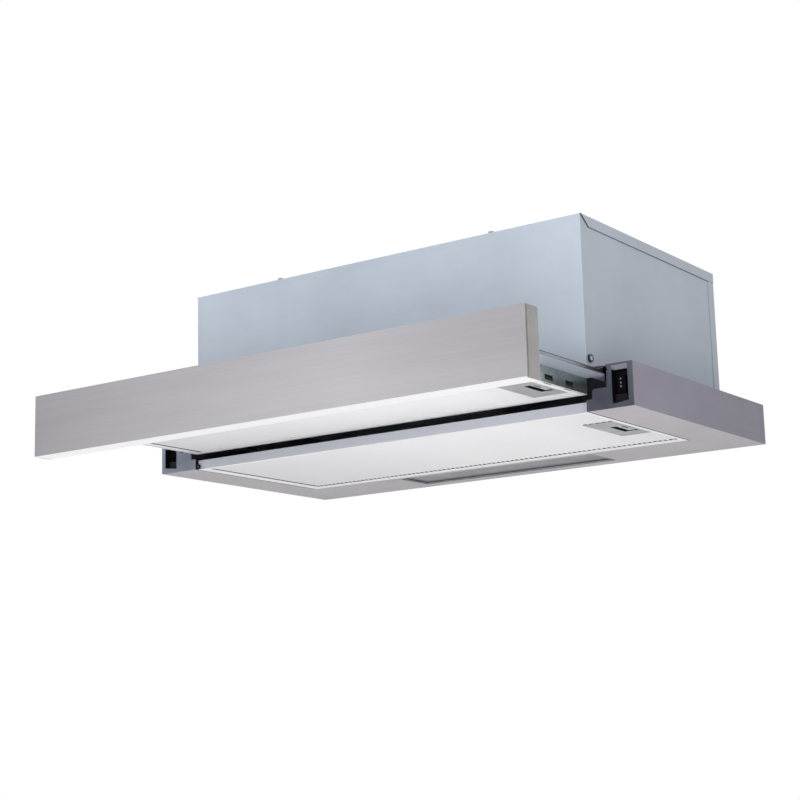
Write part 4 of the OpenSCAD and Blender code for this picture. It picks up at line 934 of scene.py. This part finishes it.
# %% [markdown]
# ## The studio
#
# The picture was taken from low in front of the hood, looking up at its underside, against plain
# white. The camera's place and lens come from lining up known corners of the hood with their
# places in the picture.

# %% The camera
camera_place = (1.03510, -1.57693, -0.34510)
forward = Vector((-0.56545, 0.80181, 0.19331)).normalized()
right = Vector((0.81406, 0.58022, -0.02540)).normalized()
up = right.cross(forward).normalized()
turn = Matrix((right, up, -forward)).transposed().to_4x4()
camera_data = bpy.data.cameras.new("camera")
camera_data.sensor_width = 36
camera_data.lens = 77.86
camera_data.clip_start = 0.01
camera = bpy.data.objects.new("camera", camera_data)
bpy.context.scene.collection.objects.link(camera)
camera.matrix_world = Matrix.Translation(camera_place) @ turn
bpy.context.scene.camera = camera
print("camera at", [round(v, 3) for v in camera.location])

# %% [markdown]
# The floor is pale and wide, and lies well below the hood. From underneath it is see-through, so
# that a view from below isn't blocked: Geometry's Backfacing picks a Transparent BSDF there. The
# camera sees it nearly white, with a faint shadow, and polished pieces mirror it as white.

# %% Floor
floor_height = -0.65
whiteness = 0.85
floor_finish = bpy.data.materials.new("pale_floor")
floor_finish.use_nodes = True
tree = floor_finish.node_tree
matt = tree.nodes["Principled BSDF"]
matt.inputs["Base Color"].default_value = (0.86, 0.86, 0.86, 1)
matt.inputs["Roughness"].default_value = 0.9
clear = tree.nodes.new("ShaderNodeBsdfTransparent")
glow = tree.nodes.new("ShaderNodeEmission")
surface = tree.nodes.new("ShaderNodeNewGeometry")
lit = tree.nodes.new("ShaderNodeMixShader")
sides = tree.nodes.new("ShaderNodeMixShader")


def mirror_rays(node_tree, light_path):
    """1 for a ray that comes from a mirror or through glass."""
    return calculate(
        node_tree, "MAXIMUM",
        light_path.outputs["Is Glossy Ray"], light_path.outputs["Is Transmission Ray"],
    )


rays = tree.nodes.new("ShaderNodeLightPath")
camera_part = calculate(tree, "MULTIPLY", rays.outputs["Is Camera Ray"], whiteness)
white_part = calculate(tree, "MAXIMUM", mirror_rays(tree, rays), camera_part)
tree.links.new(white_part, lit.inputs["Fac"])
tree.links.new(matt.outputs[0], lit.inputs[1])
tree.links.new(glow.outputs[0], lit.inputs[2])
tree.links.new(surface.outputs["Backfacing"], sides.inputs["Fac"])
tree.links.new(lit.outputs[0], sides.inputs[1])
tree.links.new(clear.outputs[0], sides.inputs[2])
tree.links.new(sides.outputs[0], tree.nodes["Material Output"].inputs["Surface"])

sheet = bmesh.new()
bmesh.ops.create_grid(sheet, x_segments=1, y_segments=1, size=3.0)
bmesh.ops.translate(sheet, verts=sheet.verts[:], vec=(0, 0, floor_height))
floor = new_object("floor", sheet, floor_finish)
print("floor at", floor_height)

# %% [markdown]
# The world is white to the camera and to reflections, and dimmer for the soft light that falls
# on the surfaces. That keeps the background white without washing out the hood's own colours.

# %% World
world = bpy.data.worlds.new("studio")
bpy.context.scene.world = world
world.use_nodes = True
sky = world.node_tree
soft = sky.nodes["Background"]
soft.inputs["Color"].default_value = (1, 1, 1, 1)
soft.inputs["Strength"].default_value = 0.55
white = sky.nodes.new("ShaderNodeBackground")
white.inputs["Color"].default_value = (1, 1, 1, 1)
white.inputs["Strength"].default_value = 1.0
rays = sky.nodes.new("ShaderNodeLightPath")
see_white = calculate(sky, "MAXIMUM", rays.outputs["Is Camera Ray"], mirror_rays(sky, rays))
blend = sky.nodes.new("ShaderNodeMixShader")
sky.links.new(see_white, blend.inputs["Fac"])
sky.links.new(soft.outputs[0], blend.inputs[1])
sky.links.new(white.outputs[0], blend.inputs[2])
sky.links.new(blend.outputs[0], sky.nodes["World Output"].inputs["Surface"])
print("world", world.name)

# %% [markdown]
# Three soft lamps shape the hood: a broad one in front, a weaker one from the right, and one
# from below that makes the filters glow as they do in the picture. Polished surfaces mirror the
# white room and not the lamps, which would leave a hard bright patch on the stainless steel.


# %% Lamps
def soft_lamp(title, place_at, aim_at, size, power):
    """A square area lamp that points from one place to another."""
    data = bpy.data.lights.new(title, "AREA")
    data.shape = "SQUARE"
    data.size = size
    data.energy = power
    lamp = bpy.data.objects.new(title, data)
    bpy.context.scene.collection.objects.link(lamp)
    lamp.location = place_at
    lamp.rotation_euler = (Vector(aim_at) - Vector(place_at)).to_track_quat("-Z", "Y").to_euler()
    lamp.visible_glossy = False


soft_lamp("front_lamp", (-0.45, -2.6, 0.5), (0, 0, 0.05), 1.6, 31)
soft_lamp("right_lamp", (2.4, -1.2, 0.8), (0.2, 0, 0.05), 1.4, 9.2)
soft_lamp("low_lamp", (0.42, -0.8, -0.6), (0.15, -0.15, 0), 0.9, 11)
print("lamps", len(bpy.data.lights))

# %% Finish
bpy.context.scene.view_settings.view_transform = "Standard"
